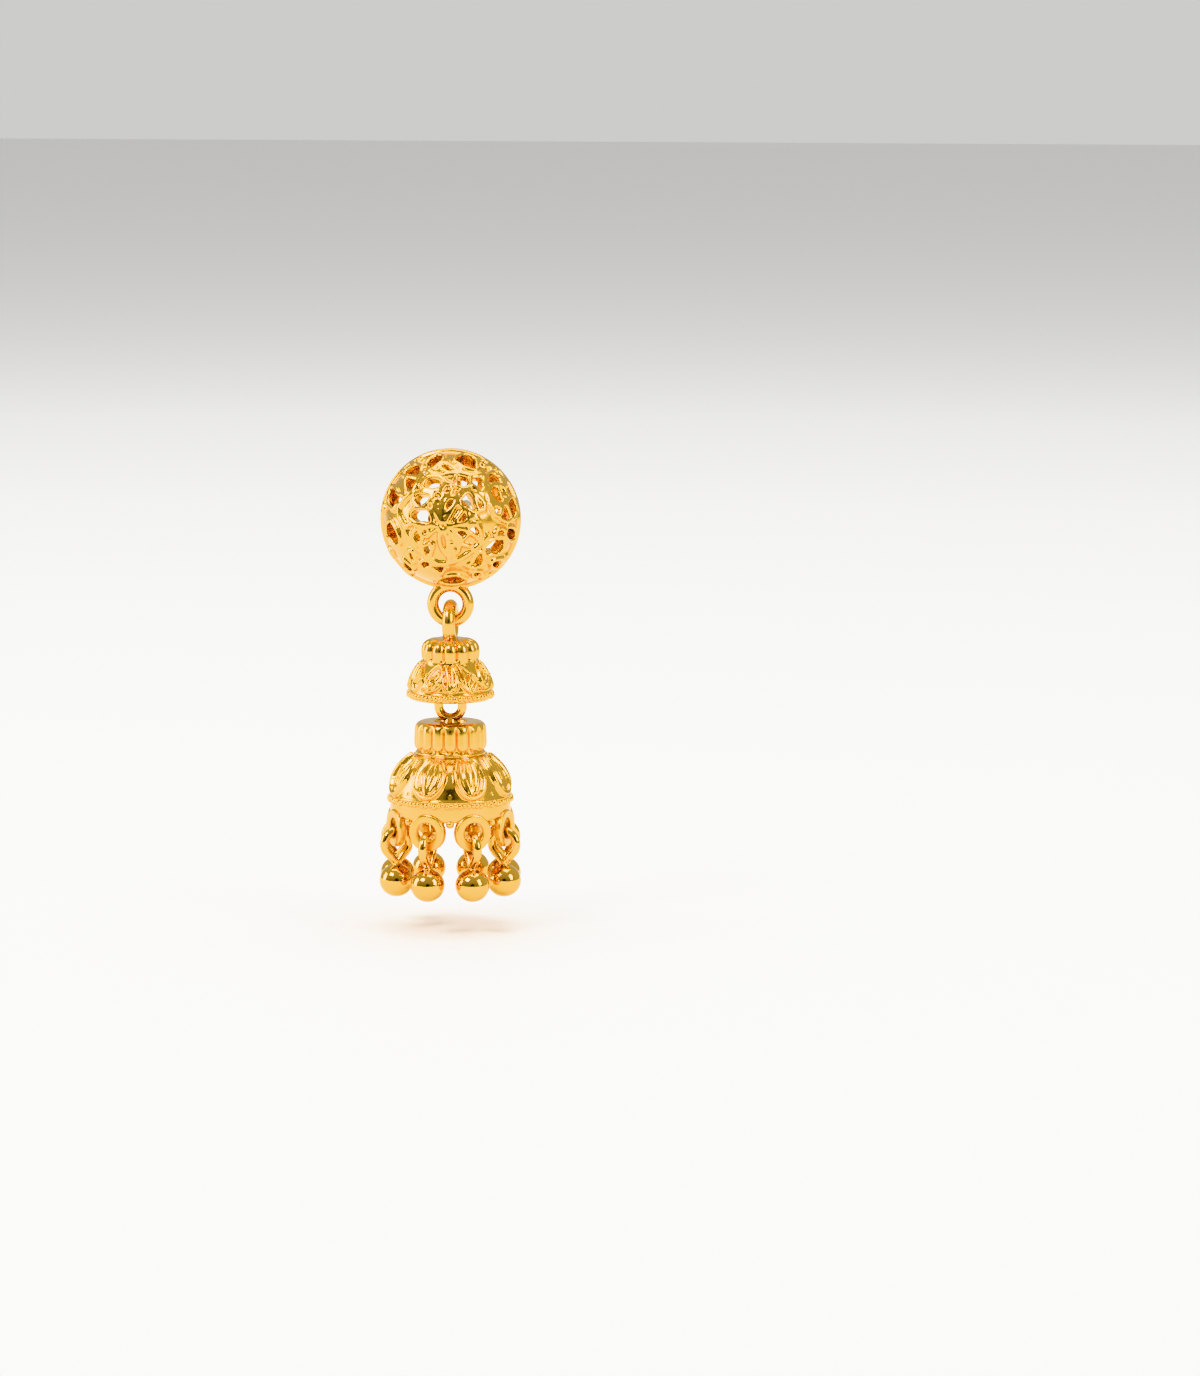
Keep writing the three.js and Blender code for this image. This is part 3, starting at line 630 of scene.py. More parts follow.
# %% Wires, boss and ring
WIRE_RADIUS = BALL_RADIUS - 0.17
OPENING_WIRE = 0.2
OPENING_WIRE_OUT = 1.6
FLOWER_WIRE = 0.19
FLOWER_RISE = 0.02
FRAME_WIRE = 0.25
FRAME_SINK = 0.04
wires = []
for row in OPENINGS:
    wires.append(dome_wire(grown(row, OPENING_WIRE_OUT), OPENING_WIRE, WIRE_RADIUS))
for row in FLOWER:
    wires.append(dome_wire(row, FLOWER_WIRE, WIRE_RADIUS + FLOWER_RISE, closed=False))
for row in FRAME:
    wires.append(dome_wire(row, FRAME_WIRE, WIRE_RADIUS - FRAME_SINK, closed=False))
boss = new_primitive("boss", bpy.ops.mesh.primitive_torus_add, major_radius=0.22, minor_radius=0.12)
wires.append(place(boss, move=(0, -WIRE_RADIUS, 0), turn=(math.pi / 2, 0, 0)))
wires.append(wire_ring("ring", BALL_RING, (0, HANG_Y, BALL_RING_Z), True, sides=24, steps=96))
print(len(wires), "wires and rings")

# %% [markdown]
# A strap across the open back carries the disc that holds the post. Joining only puts the meshes side
# by side. The voxel remesh then makes one closed skin of them, and two passes of smoothing take its
# steps away.

# %% Strap and disc, and fusing the half ball
BALL_VOXEL = 0.099
strap = new_primitive("strap", bpy.ops.mesh.primitive_cube_add, size=1)
place(
    strap,
    move=(0, -STRAP_THICKNESS / 2, 0),
    scale=(STRAP_WIDTH, STRAP_THICKNESS, 2 * BALL_RADIUS - BAND_WALL),
)
disc = new_primitive(
    "disc",
    bpy.ops.mesh.primitive_cylinder_add,
    radius=DISC_RADIUS,
    depth=STRAP_THICKNESS,
    vertices=64,
)
place(disc, move=(0, -STRAP_THICKNESS / 2, 0), turn=(math.pi / 2, 0, 0))
ball = join("ball_stud_gold", [wall, strap, disc] + wires)
apply_modifier(ball, "REMESH", mode="VOXEL", voxel_size=BALL_VOXEL, adaptivity=0.0)
apply_modifier(ball, "SMOOTH", factor=0.5, iterations=2)
print("half ball remeshed:", len(ball.data.polygons), "faces")

# %% [markdown]
# The post runs through a hole in the disc. It is bored after the remesh, so that its edge stays crisp.

# %% Bore the disc and finish the half ball
BORE_PLAY = 0.15
bore = new_primitive(
    "bore",
    bpy.ops.mesh.primitive_cylinder_add,
    radius=POST_RADIUS + BORE_PLAY,
    depth=3,
    vertices=48,
)
place(bore, turn=(math.pi / 2, 0, 0))
apply_modifier(ball, "BOOLEAN", object=bore, operation="DIFFERENCE", solver="EXACT")
bpy.data.objects.remove(bore)
finish(ball, "stud", "ball_stud", polished)

# %% [markdown]
# ## The ear post
# Behind the ball a plain pin goes through the ear. On the real earring it is soldered to the disc.
# Here it is a piece of its own, spun from its outline with a domed tip at the back and a flat head
# inside the ball.

# %% Ear post
POST_LENGTH = 11.0
POST_HEAD_RADIUS = 1.1
POST_HEAD_THICKNESS = 0.4


def ear_post():
    head_back = -STRAP_THICKNESS - HANG_GAP
    head_front = head_back - POST_HEAD_THICKNESS
    outline = [
        (0, head_front),
        (POST_HEAD_RADIUS - 0.12, head_front),
        (POST_HEAD_RADIUS, head_front + 0.12),
        (POST_HEAD_RADIUS, head_back - 0.08),
        (POST_HEAD_RADIUS - 0.08, head_back),
        (POST_RADIUS, head_back),
        (POST_RADIUS, POST_LENGTH - POST_RADIUS),
    ]
    for step in range(1, 7):
        turn = step / 6 * math.pi / 2
        height = POST_LENGTH - POST_RADIUS * (1 - math.sin(turn))
        outline.append((POST_RADIUS * math.cos(turn), height))
    outline[-1] = (0, POST_LENGTH)
    return place(spun("ear_post_gold", outline, 48), turn=(-math.pi / 2, 0, 0))


finish(ear_post(), "stud", "ear_post", polished, angle=40)

# %% [markdown]
# ## Relief on the bells
# The bells are cast with raised work: ribs round the collars, petals and scrolls round the domes.
# Each bell is spun with a fine mesh, and its vertices are then pushed out along their normals by
# height functions of the way round and the way down. Both bells are turned a little on their loops,
# as they hang in the photograph.

# %% Height functions
BELL_TURN = math.radians(6.5)


def in_repeat(turn, repeats):
    """Place inside one repeat of a pattern, from -1 to 1."""
    share = (turn - BELL_TURN) / (2 * math.pi / repeats) + 0.5
    return 2 * (share - np.floor(share)) - 1


def bump_line(distance, width):
    """A rounded raised line: 1 on its middle, 0 from its edge outwards."""
    inside = np.clip(1 - (distance / width) ** 2, 0, 1)
    return np.sqrt(inside)


def soft_step(value, low, high):
    t = np.clip((value - low) / (high - low), 0, 1)
    return t * t * (3 - 2 * t)


def lobes(turn, repeats):
    """Rounded ribs with sharp valleys between them."""
    u = in_repeat(turn, repeats)
    return np.sqrt(np.clip(1 - 0.94 * u * u, 0, 1))


def stroke(x, y, points, width):
    """A rounded raised line drawn through the points: 1 on the line, 0 from its edge outwards."""
    nearest = np.full(len(x), np.inf)
    line = smooth_line(points, 0.2)
    for (x0, y0), (x1, y1) in zip(line, line[1:]):
        dx, dy = x1 - x0, y1 - y0
        share = np.clip(((x - x0) * dx + (y - y0) * dy) / (dx * dx + dy * dy), 0, 1)
        nearest = np.minimum(nearest, np.hypot(x - x0 - share * dx, y - y0 - share * dy))
    return bump_line(nearest, width)


# %% Raising the relief
def raise_relief(obj, height):
    """Moves the outer vertices along their normals by height(turn, radius, z)."""
    corners = corners_of(obj)
    normals = normals_of(obj)
    turn = np.arctan2(corners[:, 1], corners[:, 0])
    radius = np.hypot(corners[:, 0], corners[:, 1])
    lift = height(turn, radius, corners[:, 2])
    facing = (normals[:, 0] * corners[:, 0] + normals[:, 1] * corners[:, 1]) / np.maximum(radius, 1e-6)
    # The faces of the hollow look inwards and stay as they are, and so does the very middle
    lift = np.where((facing > 0.05) & (radius > 0.5), lift, 0.0)
    corners += normals * lift[:, None]
    set_corners(obj, corners)
    print(obj.name, "relief from", round(float(lift.min()), 3), "to", round(float(lift.max()), 3), "mm")


# %% Rows of grains
def granules(name, count, radius, circle, height, uneven=0.0):
    """A row of small grains along a rim: copies of one, as uneven as if they were set by hand."""
    grains = []
    first = new_primitive(name, bpy.ops.mesh.primitive_ico_sphere_add, subdivisions=2, radius=radius)
    for i in range(count):
        turn = 2 * math.pi * i / count
        drift = uneven * math.sin(7.3 * i) * math.cos(2.9 * i)
        size = 1 + 1.2 * uneven * math.sin(5.1 * i + 1)
        grain = first.copy()
        grain.data = first.data.copy()
        bpy.context.collection.objects.link(grain)
        at = (circle * math.cos(turn), circle * math.sin(turn), height + drift)
        grains.append(place(grain, move=at, scale=(size, size, size * (1 + uneven))))
    bpy.data.objects.remove(first)
    return join(name, grains)


# %% [markdown]
# ## The upper bell
# A domed collar with twelve rounded ribs stands on a small bell, hollow underneath. Its outline runs
# over the collar, down the dome, round the rim and back up inside. The collar and dome are tables of
# shares of the bell's own sizes, so that a bell of another size keeps the shape.

# %% Outline of the upper bell
UPPER = dict(
    collar_radius=2.43,
    collar_height=1.95,
    dome_radius=3.6,
    dome_height=2.65,
    rim_height=0.66,
    rim_radius=3.52,
    wall=0.5,
    ribs=12,
    motifs=4,
)
UPPER_WAIST_Z = UPPER_TOP_Z - UPPER["collar_height"]
UPPER_FOOT_Z = UPPER_WAIST_Z - UPPER["dome_height"]
# Shares of the collar's radius and height
UPPER_COLLAR = [
    (0.0, 0.0), (0.3, 0.005), (0.55, 0.03), (0.78, 0.1), (0.92, 0.24), (0.985, 0.42), (1.0, 0.6),
    (0.99, 0.8), (0.975, 0.94), (0.97, 1.0),
]
# Shares of the dome's height and radius
UPPER_DOME = [
    (0.0, 0.655), (0.1, 0.71), (0.2, 0.768), (0.3, 0.82), (0.42, 0.872), (0.56, 0.92), (0.7, 0.955),
    (0.85, 0.975), (1.0, 0.97),
]


def upper_outline():
    size = UPPER
    collar = [(r * size["collar_radius"], UPPER_TOP_Z - h * size["collar_height"]) for r, h in UPPER_COLLAR]
    dome = [(r * size["dome_radius"], UPPER_WAIST_Z - h * size["dome_height"]) for h, r in UPPER_DOME]
    rim_z = UPPER_FOOT_Z - size["rim_height"]
    rim = [
        (size["rim_radius"] - 0.06, UPPER_FOOT_Z - 0.1),
        (size["rim_radius"], UPPER_FOOT_Z - 0.5 * size["rim_height"]),
        (size["rim_radius"] - 0.1, rim_z + 0.08),
        (size["rim_radius"] - 0.28, rim_z),
    ]
    inner_foot = [(size["dome_radius"] - size["wall"], rim_z)]
    hollow = [
        (
            r * size["dome_radius"] - size["wall"],
            UPPER_WAIST_Z - h * size["dome_height"] - size["wall"] / 2,
        )
        for h, r in reversed(UPPER_DOME[::2])
    ]
    outer = smooth_line(collar, 0.075) + smooth_line(dome + rim, 0.07)
    inner = smooth_line(inner_foot + hollow, 0.3)
    return outer + inner + [(0.0, UPPER_WAIST_Z)]


upper = spun("upper_bell_gold", upper_outline(), 400)
print("upper bell spun:", len(upper.data.polygons), "faces")

# %% [markdown]
# Round the bell run tulips with a leaf on each side and C-shaped scrolls between them. One motif is
# drawn as strokes, each with its own width and height, and it comes back four times on the way round.

# %% Relief of the upper bell
# Points as arc lengths from the motif's middle and depths below the waist, then half width and height
UPPER_LINES = [
    # Tulip: cup and three petals
    (
        [(-0.65, 1.35), (-0.58, 1.75), (-0.36, 2.1), (0.0, 2.4), (0.4, 2.15), (0.65, 1.8), (0.68, 1.3)],
        0.13,
        0.8,
    ),
    ([(-0.4, 0.3), (-0.22, 0.9), (-0.14, 1.5), (-0.05, 2.2)], 0.2, 1.0),
    ([(0.14, 0.4), (0.2, 1.0), (0.17, 1.6), (0.02, 2.2)], 0.16, 0.9),
    ([(0.3, 0.35), (0.5, 0.9), (0.52, 1.4), (0.3, 2.0)], 0.15, 1.0),
    # Scroll on the left, with its tail and the leaf inside it
    (
        [
            (-1.15, 0.2), (-1.62, 0.4), (-2.0, 0.85), (-2.18, 1.35), (-2.05, 1.85), (-1.72, 2.05),
            (-1.3, 1.75), (-0.85, 1.35), (-0.72, 0.9), (-0.85, 0.45), (-1.15, 0.2),
        ],
        0.16,
        1.0,
    ),
    ([(-0.7, 1.3), (-0.9, 1.8), (-1.36, 2.16), (-2.0, 2.3), (-2.7, 2.15), (-3.1, 1.7)], 0.16, 1.0),
    ([(-1.85, 1.75), (-1.62, 1.2), (-1.2, 0.75), (-1.0, 1.0), (-1.35, 1.45), (-1.85, 1.75)], 0.14, 0.8),
    # Leaves on the right
    ([(0.4, 0.15), (1.0, 0.08), (1.55, 0.35), (2.2, 0.95), (2.6, 1.5)], 0.15, 0.9),
    ([(0.55, 0.35), (0.78, 1.1), (1.05, 1.7), (1.4, 2.1), (1.8, 2.4)], 0.16, 1.0),
    ([(1.0, 0.35), (1.18, 1.0), (1.3, 1.6), (1.5, 2.1)], 0.17, 0.8),
    ([(1.95, 0.95), (1.7, 1.35), (1.5, 1.75), (1.72, 2.3)], 0.18, 1.0),
    ([(2.45, 1.65), (2.2, 1.9), (1.9, 2.35)], 0.16, 0.7),
]
SKIRT_RADIUS = 3.3


def upper_relief(turn, radius, z):
    depth = UPPER_WAIST_Z - z
    down = (UPPER_TOP_Z - z) / UPPER["collar_height"]
    rib_share = soft_step(down, 0.0, 0.16) * soft_step(-down, -0.98, -0.88)
    ribs = 0.5 * (lobes(turn, UPPER["ribs"]) - 0.9) * rib_share
    x = in_repeat(turn, UPPER["motifs"]) * math.pi / UPPER["motifs"] * SKIRT_RADIUS
    lines = np.zeros(len(x))
    for row, width, height in UPPER_LINES:
        lines = np.maximum(lines, height * stroke(x, depth, row, width))
    t = depth / UPPER["dome_height"]
    on_skirt = soft_step(t, 0.0, 0.05) * soft_step(-t, -0.97, -0.93)
    return ribs * (t < 0) + (0.3 * lines - 0.1) * on_skirt * (t >= 0)


raise_relief(upper, upper_relief)
apply_modifier(upper, "SMOOTH", factor=0.5, iterations=3)

# %% [markdown]
# A rope of small grains goes round the rim. One loop stands on the top and hangs in the ball's ring,
# and a second one on a stem in the hollow carries the lower bell. Both turn their edges to the
# viewer, because the ring above them and the link below them face forwards.

# %% Rope, loops and stem of the upper bell
STEM_RADIUS = 0.5
rope_z = UPPER_FOOT_Z - 0.4 * UPPER["rim_height"] + 0.04
rope_circle = UPPER["rim_radius"] - 0.02
rope = granules("rope", count=52, radius=0.26, circle=rope_circle, height=rope_z, uneven=0.07)
upper_loop = wire_ring("upper_loop", UPPER_LOOP, (0, 0, UPPER_LOOP_Z), False, sides=28, steps=84)
inner_loop = wire_ring("inner_loop", INNER_LOOP, (0, 0, INNER_LOOP_Z), False, sides=24, steps=72)
stem_top = UPPER_WAIST_Z + 0.2
stem_foot = INNER_LOOP_Z + INNER_LOOP["radius"]
stem = new_primitive(
    "stem",
    bpy.ops.mesh.primitive_cylinder_add,
    radius=STEM_RADIUS,
    depth=stem_top - stem_foot,
    vertices=32,
)
place(stem, move=(0, 0, (stem_top + stem_foot) / 2))
upper = join("upper_bell_gold", [upper, rope, upper_loop, inner_loop, stem])
place(upper, move=(0, HANG_Y, 0))
finish(upper, "upper", "upper_bell", polished)

# %% [markdown]
# ## The lower bell
# The main bell has a flat-topped collar with a small recess for its link, a broad dome, a rim set
# with grains and a plain band. It is spun in the same way as the upper bell, but the collar's points
# are in millimetres, because its rounded corners have a size of their own.

# %% Outline of the lower bell
PETALS = 8
LOWER = dict(
    collar_radius=3.0,
    collar_height=2.9,
    dome_radius=5.2,
    dome_height=3.4,
    rim_height=0.6,
    rim_radius=5.16,
    band_radius=5.13,
    band_height=1.15,
    wall=0.5,
    recess_radius=1.35,
    recess_depth=0.42,
    ribs=16,
)
LOWER_WAIST_Z = LOWER_TOP_Z - LOWER["collar_height"]
LOWER_FOOT_Z = LOWER_WAIST_Z - LOWER["dome_height"]
RECESS_FLOOR_Z = LOWER_TOP_Z - LOWER["recess_depth"]
# Radius and depth below the top, in millimetres
LOWER_COLLAR = [
    (2.4, 0.0), (2.72, 0.06), (2.93, 0.27), (3.0, 0.65), (3.04, 1.5), (3.06, 2.3), (3.02, 2.66),
    (2.88, 2.84), (2.86, LOWER["collar_height"]),
]
# Shares of the dome's height and radius
LOWER_DOME = [
    (0.0, 0.6), (0.08, 0.68), (0.17, 0.745), (0.27, 0.81), (0.38, 0.865), (0.5, 0.91),
    (0.62, 0.945), (0.74, 0.965), (0.87, 0.985), (1.0, 1.0),
]


def lower_outline():
    size = LOWER
    recess = size["recess_radius"]
    top = [
        (0.0, RECESS_FLOOR_Z),
        (recess - 0.25, RECESS_FLOOR_Z),
        (recess - 0.05, RECESS_FLOOR_Z + 0.08),
        (recess, RECESS_FLOOR_Z + 0.2),
        (recess + 0.03, LOWER_TOP_Z - 0.06),
        (recess + 0.1, LOWER_TOP_Z),
    ]
    top += [(radius, LOWER_TOP_Z - depth) for radius, depth in LOWER_COLLAR]
    dome = [(r * size["dome_radius"], LOWER_WAIST_Z - h * size["dome_height"]) for h, r in LOWER_DOME]
    band_top = LOWER_FOOT_Z - size["rim_height"]
    band_foot = band_top - size["band_height"]
    rim = [
        (size["rim_radius"], LOWER_FOOT_Z - 0.12),
        (size["rim_radius"] + 0.02, LOWER_FOOT_Z - 0.3),
        (size["rim_radius"] - 0.04, LOWER_FOOT_Z - 0.48),
        (size["band_radius"], band_top),
    ]
    band = [
        (size["band_radius"], band_top - 0.1),
        (size["band_radius"], band_foot + 0.08),
        (size["band_radius"] - 0.08, band_foot),
    ]
    inner_foot = [(size["band_radius"] - size["wall"], band_foot)]
    hollow = [
        (
            r * size["dome_radius"] - size["wall"] - 0.17,
            LOWER_WAIST_Z - h * size["dome_height"] - size["wall"] / 2,
        )
        for h, r in reversed(LOWER_DOME[::3])
    ]
    ceiling = RECESS_FLOOR_Z - size["wall"]
    under_collar = [(size["collar_radius"] - size["wall"], ceiling)]
    outer = smooth_line(top, 0.1) + smooth_line(dome + rim, 0.068) + smooth_line(band, 0.3)
    inner = smooth_line(inner_foot + hollow + under_collar, 0.45)
    return outer + inner + [(0.0, ceiling)]


lower = spun("lower_bell_gold", lower_outline(), 420)
print("lower bell spun:", len(lower.data.polygons), "faces")

# %% [markdown]
# Lotus ribs go round the collar, and eight broad petals lie on the dome, one over each flat ring. A
# petal is a raised edge round a sunken leaf with four folds, and between two petals there is a dimple.

# %% Relief of the lower bell
# Points as arc lengths from the petal's middle line and depths below the waist
PETAL_EDGE = [
    (-0.8, -0.1), (-1.08, 0.6), (-1.26, 1.3), (-1.27, 1.9), (-1.08, 2.45), (-0.68, 2.88),
    (-0.12, 3.06), (0.45, 2.92), (0.93, 2.5), (1.22, 1.9), (1.25, 1.3), (1.06, 0.6), (0.78, -0.1),
]
# The folds' points, half widths and heights
PETAL_FOLDS = [
    ([(-0.8, 0.4), (-0.9, 1.2), (-0.66, 2.1), (-0.3, 2.7)], 0.17, 0.6),
    ([(-0.25, 0.2), (-0.42, 1.0), (-0.4, 1.7), (-0.14, 2.75)], 0.22, 1.0),
    ([(0.22, 0.2), (0.2, 1.0), (0.06, 1.9), (-0.06, 2.75)], 0.19, 0.9),
    ([(0.62, 0.2), (0.72, 1.0), (0.6, 1.8), (0.28, 2.5)], 0.27, 1.0),
]
HALF_STEP = math.pi / PETALS


def lower_relief(turn, radius, z):
    size = LOWER
    below_top = LOWER_TOP_Z - z
    depth = LOWER_WAIST_Z - z
    # Rounded flutes round the collar, closed at the foot, with a smooth lip beneath
    u = in_repeat(turn, size["ribs"])
    foot_share = np.maximum(below_top - 1.8, 0) / 0.64
    flute = np.sqrt(np.clip(1 - (u / 0.97) ** 2 - foot_share**2, 0, 1))
    fade = soft_step(below_top, 0.1, 0.55) * soft_step(-below_top, -2.66, -2.4)
    collar = 0.36 * (flute - 0.9) * fade
    # Broad petals round the dome, each over a flat ring
    x = in_repeat(turn + HALF_STEP, PETALS) * math.pi / PETALS * np.maximum(radius, 4.1)
    edge = stroke(x, depth, PETAL_EDGE, 0.21)
    folds = np.zeros(len(x))
    for row, width, height in PETAL_FOLDS:
        folds = np.maximum(folds, height * stroke(x, depth, row, width))
    reach = np.hypot(x / 1.24, (depth - 1.45) / 1.6)
    inside = soft_step(-reach, -1.0, -0.82) * soft_step(3.0 - depth, 0, 0.2)
    petal = np.maximum(0.38 * edge, (0.3 * folds - 0.14) * inside)
    from_gap = (HALF_STEP * size["dome_radius"] - np.abs(x)) / 0.13
    dimple = -0.09 * np.exp(-(from_gap**2 + ((depth - 2.85) / 0.16) ** 2))
    t = depth / size["dome_height"]
    on_dome = soft_step(t, 0.0, 0.03) * soft_step(0.98 - t, 0, 0.04)
    return collar * (t < 0) + (petal + dimple - 0.08) * on_dome * (t >= 0)


raise_relief(lower, lower_relief)
apply_modifier(lower, "SMOOTH", factor=0.5, iterations=3)

# %% [markdown]
# Eight flat rings are soldered under the band, with a small web between neighbours. A long link on a
# neck rises from the recess into the hollow of the upper bell, so that only its two legs show.


# %% Flat ring, long link and its neck
NECK_RADIUS = 0.5


def flat_ring():
    """One flat ring with softly broken edges, standing on its edge and facing outwards."""
    half = FLAT_RING["thickness"] / 2
    outer, hole = FLAT_RING["outer"], FLAT_RING["hole"]
    soft = 0.1
    outline = [
        (hole, -half + soft),
        (hole + soft, -half),
        (outer - soft, -half),
        (outer, -half + soft),
        (outer, half - soft),
        (outer - soft, half),
        (hole + soft, half),
        (hole, half - soft),
        (hole, -half + soft),
    ]
    obj = spun("flat_ring", outline, 56)
    sharp = math.radians(30)
    apply_modifier(obj, "BEVEL", width=0.045, segments=2, limit_method="ANGLE", angle_limit=sharp)
    return place(obj, turn=(0, math.pi / 2, 0))


def long_link():
    """The link on the lower bell: a ring pulled long, facing the viewer."""
    obj = wire_ring("long_link", LONG_LINK, (0, 0, 0), True, sides=24, steps=72)
    corners = corners_of(obj)
    pulled = np.where(corners[:, 2] > 1e-4, 0.5, -0.5) * LONG_LINK["straight"]
    corners[:, 2] += pulled + (LOWER_HINGE_Z + LINK_FOOT_Z) / 2
    set_corners(obj, corners)
    return obj


def link_neck():
    """The flared solder neck that joins the link to the floor of the recess."""
    outline = [
        (0.0, LINK_FOOT_Z),
        (NECK_RADIUS * 0.8, LINK_FOOT_Z),
        (NECK_RADIUS, LINK_FOOT_Z - 0.3),
        (NECK_RADIUS * 1.25, RECESS_FLOOR_Z + 0.1),
        (NECK_RADIUS * 1.7, RECESS_FLOOR_Z - 0.02),
        (0.0, RECESS_FLOOR_Z - 0.05),
    ]
    return spun("link_neck", outline, 40)


# %% [markdown]
# What repeats round the bell is modelled once, facing +X, and copied to its places: half a step to
# each side of the front, and so on round.

# %% Rings, webs and grains, and the finished lower bell
RING_CIRCLE = 4.95


def place_round(i):
    """The way round of each ring and drop: half a step to each side of the front."""
    return BELL_TURN - math.pi / 2 + (i + 0.5) * 2 * math.pi / PETALS


def copies_round(first, radius, height):
    """Copies of a piece that faces +X, set round a circle."""
    made = []
    for i in range(PETALS):
        piece = first.copy()
        piece.data = first.data.copy()
        bpy.context.collection.objects.link(piece)
        turn = place_round(i)
        place(piece, move=(radius * math.cos(turn), radius * math.sin(turn), height), turn=(0, 0, turn))
        made.append(piece)
    bpy.data.objects.remove(first)
    return made


grain_circle = LOWER["rim_radius"] + 0.01
grain_z = LOWER_FOOT_Z - 0.27
web_z = FLAT_RING_Z + 0.75
grains = granules("grains", count=88, radius=0.24, circle=grain_circle, height=grain_z, uneven=0.09)
webs = granules("webs", count=PETALS, radius=0.36, circle=RING_CIRCLE, height=web_z)
place(webs, turn=(0, 0, BELL_TURN))
flat_rings = copies_round(flat_ring(), RING_CIRCLE, FLAT_RING_Z)
lower = join("lower_bell_gold", [lower, grains, webs, long_link(), link_neck()] + flat_rings)
place(lower, move=(0, HANG_Y, 0))
finish(lower, "lower", "lower_bell", polished)

# %% [markdown]
# ## The drops
# Each drop is a round wire bent to a pear and soldered to a hollow ball with a short neck. One drop
# is modelled, fused by a voxel remesh as solder would, and copied to its eight places. The pear is a
# wire ring whose lower part is pulled straight down to a point.

# %% Pear-shaped wire
DROP = dict(wire=0.38, round=1.1, taper=1.63, ball=1.45, ball_height=2.8, neck=0.4)
DROP_TOP_Z = drop_high[2] - DROP["wire"]
ROUND_Z = DROP_TOP_Z - DROP["round"]
PEAR_FOOT_Z = ROUND_Z - DROP["taper"]
BALL_Z = drop_low[2] + DROP["ball_height"] / 2


def pear_wire():
    """A ring whose lower part is drawn down to a point, as the wire is bent on the pliers."""
    ring = dict(wire=DROP["wire"], radius=DROP["round"])
    obj = wire_ring("pear", ring, (0, 0, 0), True, sides=20, steps=96)
    corners = corners_of(obj)
    turn = np.arctan2(corners[:, 2], corners[:, 0])
    middle = np.stack([np.cos(turn), np.sin(turn)], axis=1) * DROP["round"]
    offset = corners[:, [0, 2]] - middle
    tangent = math.acos(DROP["round"] / DROP["taper"])
    below = np.abs(np.mod(turn + math.pi / 2 + math.pi, 2 * math.pi) - math.pi)
    share = np.clip(1 - below / tangent, 0, 1)
    side = np.sign(middle[:, 0])
    touch = np.stack([side * math.sin(tangent), -np.full(len(side), math.cos(tangent))], axis=1)
    touch *= DROP["round"]
    foot = np.array([0.0, -DROP["taper"]])
    straight = touch + (foot - touch) * share[:, None]
    middle = np.where(share[:, None] > 0, straight, middle)
    corners[:, 0] = middle[:, 0] + offset[:, 0]
    corners[:, 2] = middle[:, 1] + offset[:, 1] + ROUND_Z
    set_corners(obj, corners)
    return obj


# %% Neck and ball, and the eight drops
def neck_and_ball():
    top = PEAR_FOOT_Z + 0.1
    outline = [
        (0.0, top),
        (DROP["neck"] * 0.8, top),
        (DROP["neck"], top - 0.25),
        (DROP["neck"] * 0.95, PEAR_FOOT_Z - 0.25),
    ]
    steps = 40
    start = 0.3
    for i in range(steps + 1):
        turn = start + (math.pi - start) * i / steps
        height = BALL_Z + DROP["ball_height"] / 2 * math.cos(turn)
        outline.append((DROP["ball"] * math.sin(turn), height))
    outline[-1] = (0.0, BALL_Z - DROP["ball_height"] / 2)
    return spun("neck_and_ball", outline, 64)


DROP_VOXEL = 0.075
first_drop = join("drop", [pear_wire(), neck_and_ball()])
apply_modifier(first_drop, "REMESH", mode="VOXEL", voxel_size=DROP_VOXEL, adaptivity=0.0)
apply_modifier(first_drop, "SMOOTH", factor=0.5, iterations=4)
for i, drop in enumerate(copies_round(first_drop, RING_CIRCLE, 0)):
    drop.name = f"drop_{i + 1:02d}_gold"
    place(drop, move=(0, HANG_Y, 0))
    finish(drop, "lower", f"drop_{i + 1:02d}", mirror)

# %% [markdown]
# ## Camera
# The photograph looks slightly down on the earring from a little to its right. A long lens keeps the
# perspective flat, and a lens shift places the earring left of the middle, as in the photograph.

# %% Camera
IMAGE = (1200, 1376)
PIXEL = 0.0851 * MM
LENS = 150
SENSOR = 36
AIM = Vector((0, HANG_Y * MM, -0.0172))
AIM_PIXEL = (450.5, 720)
AZIMUTH, ELEVATION = math.radians(7), math.radians(8.3)
distance = IMAGE[1] * PIXEL * LENS / SENSOR
camera_data = bpy.data.cameras.new("camera")
camera_data.lens = LENS
camera_data.sensor_width = SENSOR
camera_data.shift_x = (IMAGE[0] / 2 - AIM_PIXEL[0]) / IMAGE[1]
camera_data.shift_y = (AIM_PIXEL[1] - IMAGE[1] / 2) / IMAGE[1]
camera_data.clip_start = 0.01
camera = bpy.data.objects.new("camera", camera_data)
bpy.context.collection.objects.link(camera)
towards = Vector(
    (
        math.sin(AZIMUTH) * math.cos(ELEVATION),
        -math.cos(AZIMUTH) * math.cos(ELEVATION),
        math.sin(ELEVATION),
    )
)
camera.location = AIM + towards * distance
camera.rotation_euler = (-towards).to_track_quat("-Z", "Y").to_euler()
bpy.context.scene.camera = camera
print("camera", round(distance * 1000), "mm away")

# %% [markdown]
# ## Floor and light
# Polished gold is a mirror, so its look comes from what stands round it: broad pale cards above and
# at the sides, a pale table below, and a darker gap that draws the deep lines in the gold.

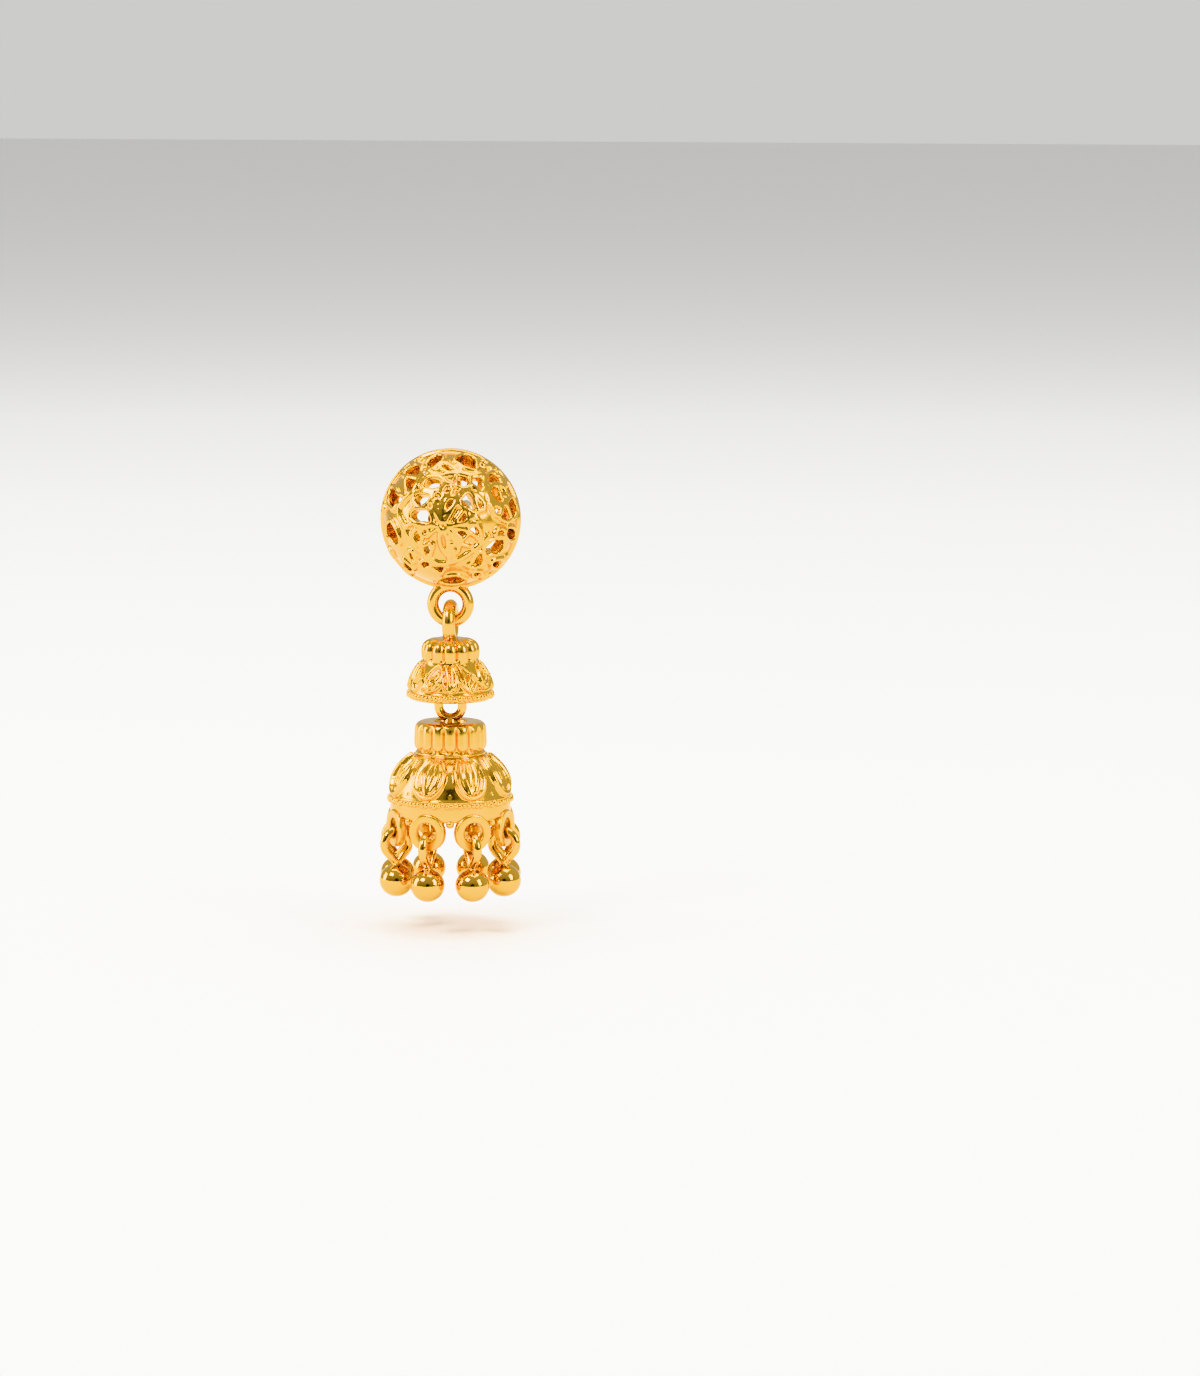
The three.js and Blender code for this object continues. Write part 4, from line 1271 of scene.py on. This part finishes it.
# %% Floor
FLOOR_Z = -0.0350
floor = new_primitive("floor", bpy.ops.mesh.primitive_plane_add, size=3)
floor.location = (0, 0, FLOOR_Z)
pale = bpy.data.materials.new("pale_table")
pale.use_nodes = True
pale.node_tree.nodes["Principled BSDF"].inputs["Base Color"].default_value = (0.93, 0.93, 0.93, 1)
pale.node_tree.nodes["Principled BSDF"].inputs["Roughness"].default_value = 0.7
floor.data.materials.append(pale)
print("floor", round(-FLOOR_Z / MM), "mm below the post")


# %% Lights
def card(name, place_at, size, power):
    """A softbox that looks at the earring."""
    light = bpy.data.lights.new(name, "AREA")
    light.shape = "RECTANGLE"
    light.size, light.size_y = size
    light.energy = power
    obj = bpy.data.objects.new(name, light)
    bpy.context.collection.objects.link(obj)
    obj.location = place_at
    obj.rotation_euler = (AIM - Vector(place_at)).to_track_quat("-Z", "Y").to_euler()
    return obj


card("key", (-0.20, -0.24, 0.30), (0.16, 0.12), 1.4)
card("fill", (0.30, -0.16, 0.14), (0.10, 0.22), 0.9)
card("top", (0.02, 0.06, 0.45), (0.4, 0.3), 2.0)
card("left", (-0.34, -0.02, 0.06), (0.12, 0.26), 0.9)


# %% Studio surroundings
def studio():
    """Pale walls behind and above, and a dimmer room in front with a dark spot at its middle."""
    world = bpy.data.worlds.new("studio")
    bpy.context.scene.world = world
    world.use_nodes = True
    nodes, links = world.node_tree.nodes, world.node_tree.links
    heading = nodes.new("ShaderNodeTexCoord")
    split = nodes.new("ShaderNodeSeparateXYZ")
    links.new(heading.outputs["Generated"], split.inputs["Vector"])
    room = nodes.new("ShaderNodeValToRGB")
    stops = ((0.0, 0.24), (0.13, 0.26), (0.28, 0.34), (0.55, 0.48), (1.0, 0.55))
    while len(room.color_ramp.elements) < len(stops):
        room.color_ramp.elements.new(0.5)
    for stop, (height, grey) in zip(room.color_ramp.elements, stops):
        stop.position = height
        stop.color = (grey, grey * 0.97, grey * 0.92, 1)
    links.new(split.outputs["Z"], room.inputs["Fac"])
    behind = nodes.new("ShaderNodeMapRange")
    behind.inputs["From Min"].default_value = -0.75
    behind.inputs["From Max"].default_value = 0.15
    links.new(split.outputs["Y"], behind.inputs["Value"])
    walls = nodes.new("ShaderNodeMix")
    walls.data_type = "RGBA"
    walls.inputs["B"].default_value = (0.64, 0.64, 0.63, 1)
    links.new(behind.outputs["Result"], walls.inputs["Factor"])
    links.new(room.outputs["Color"], walls.inputs["A"])
    ahead = nodes.new("ShaderNodeVectorMath")
    ahead.operation = "DOT_PRODUCT"
    ahead.inputs[1].default_value = tuple(towards)
    links.new(heading.outputs["Generated"], ahead.inputs[0])
    spot = nodes.new("ShaderNodeMapRange")
    spot.interpolation_type = "SMOOTHSTEP"
    spot.inputs["From Min"].default_value = math.cos(math.radians(17))
    spot.inputs["From Max"].default_value = math.cos(math.radians(10))
    links.new(ahead.outputs["Value"], spot.inputs["Value"])
    dark = nodes.new("ShaderNodeMix")
    dark.data_type = "RGBA"
    dark.inputs["B"].default_value = (0.012, 0.011, 0.01, 1)
    links.new(spot.outputs["Result"], dark.inputs["Factor"])
    links.new(walls.outputs["Result"], dark.inputs["A"])
    links.new(dark.outputs["Result"], nodes["Background"].inputs["Color"])


studio()
bpy.context.scene.view_settings.view_transform = "Khronos PBR Neutral"
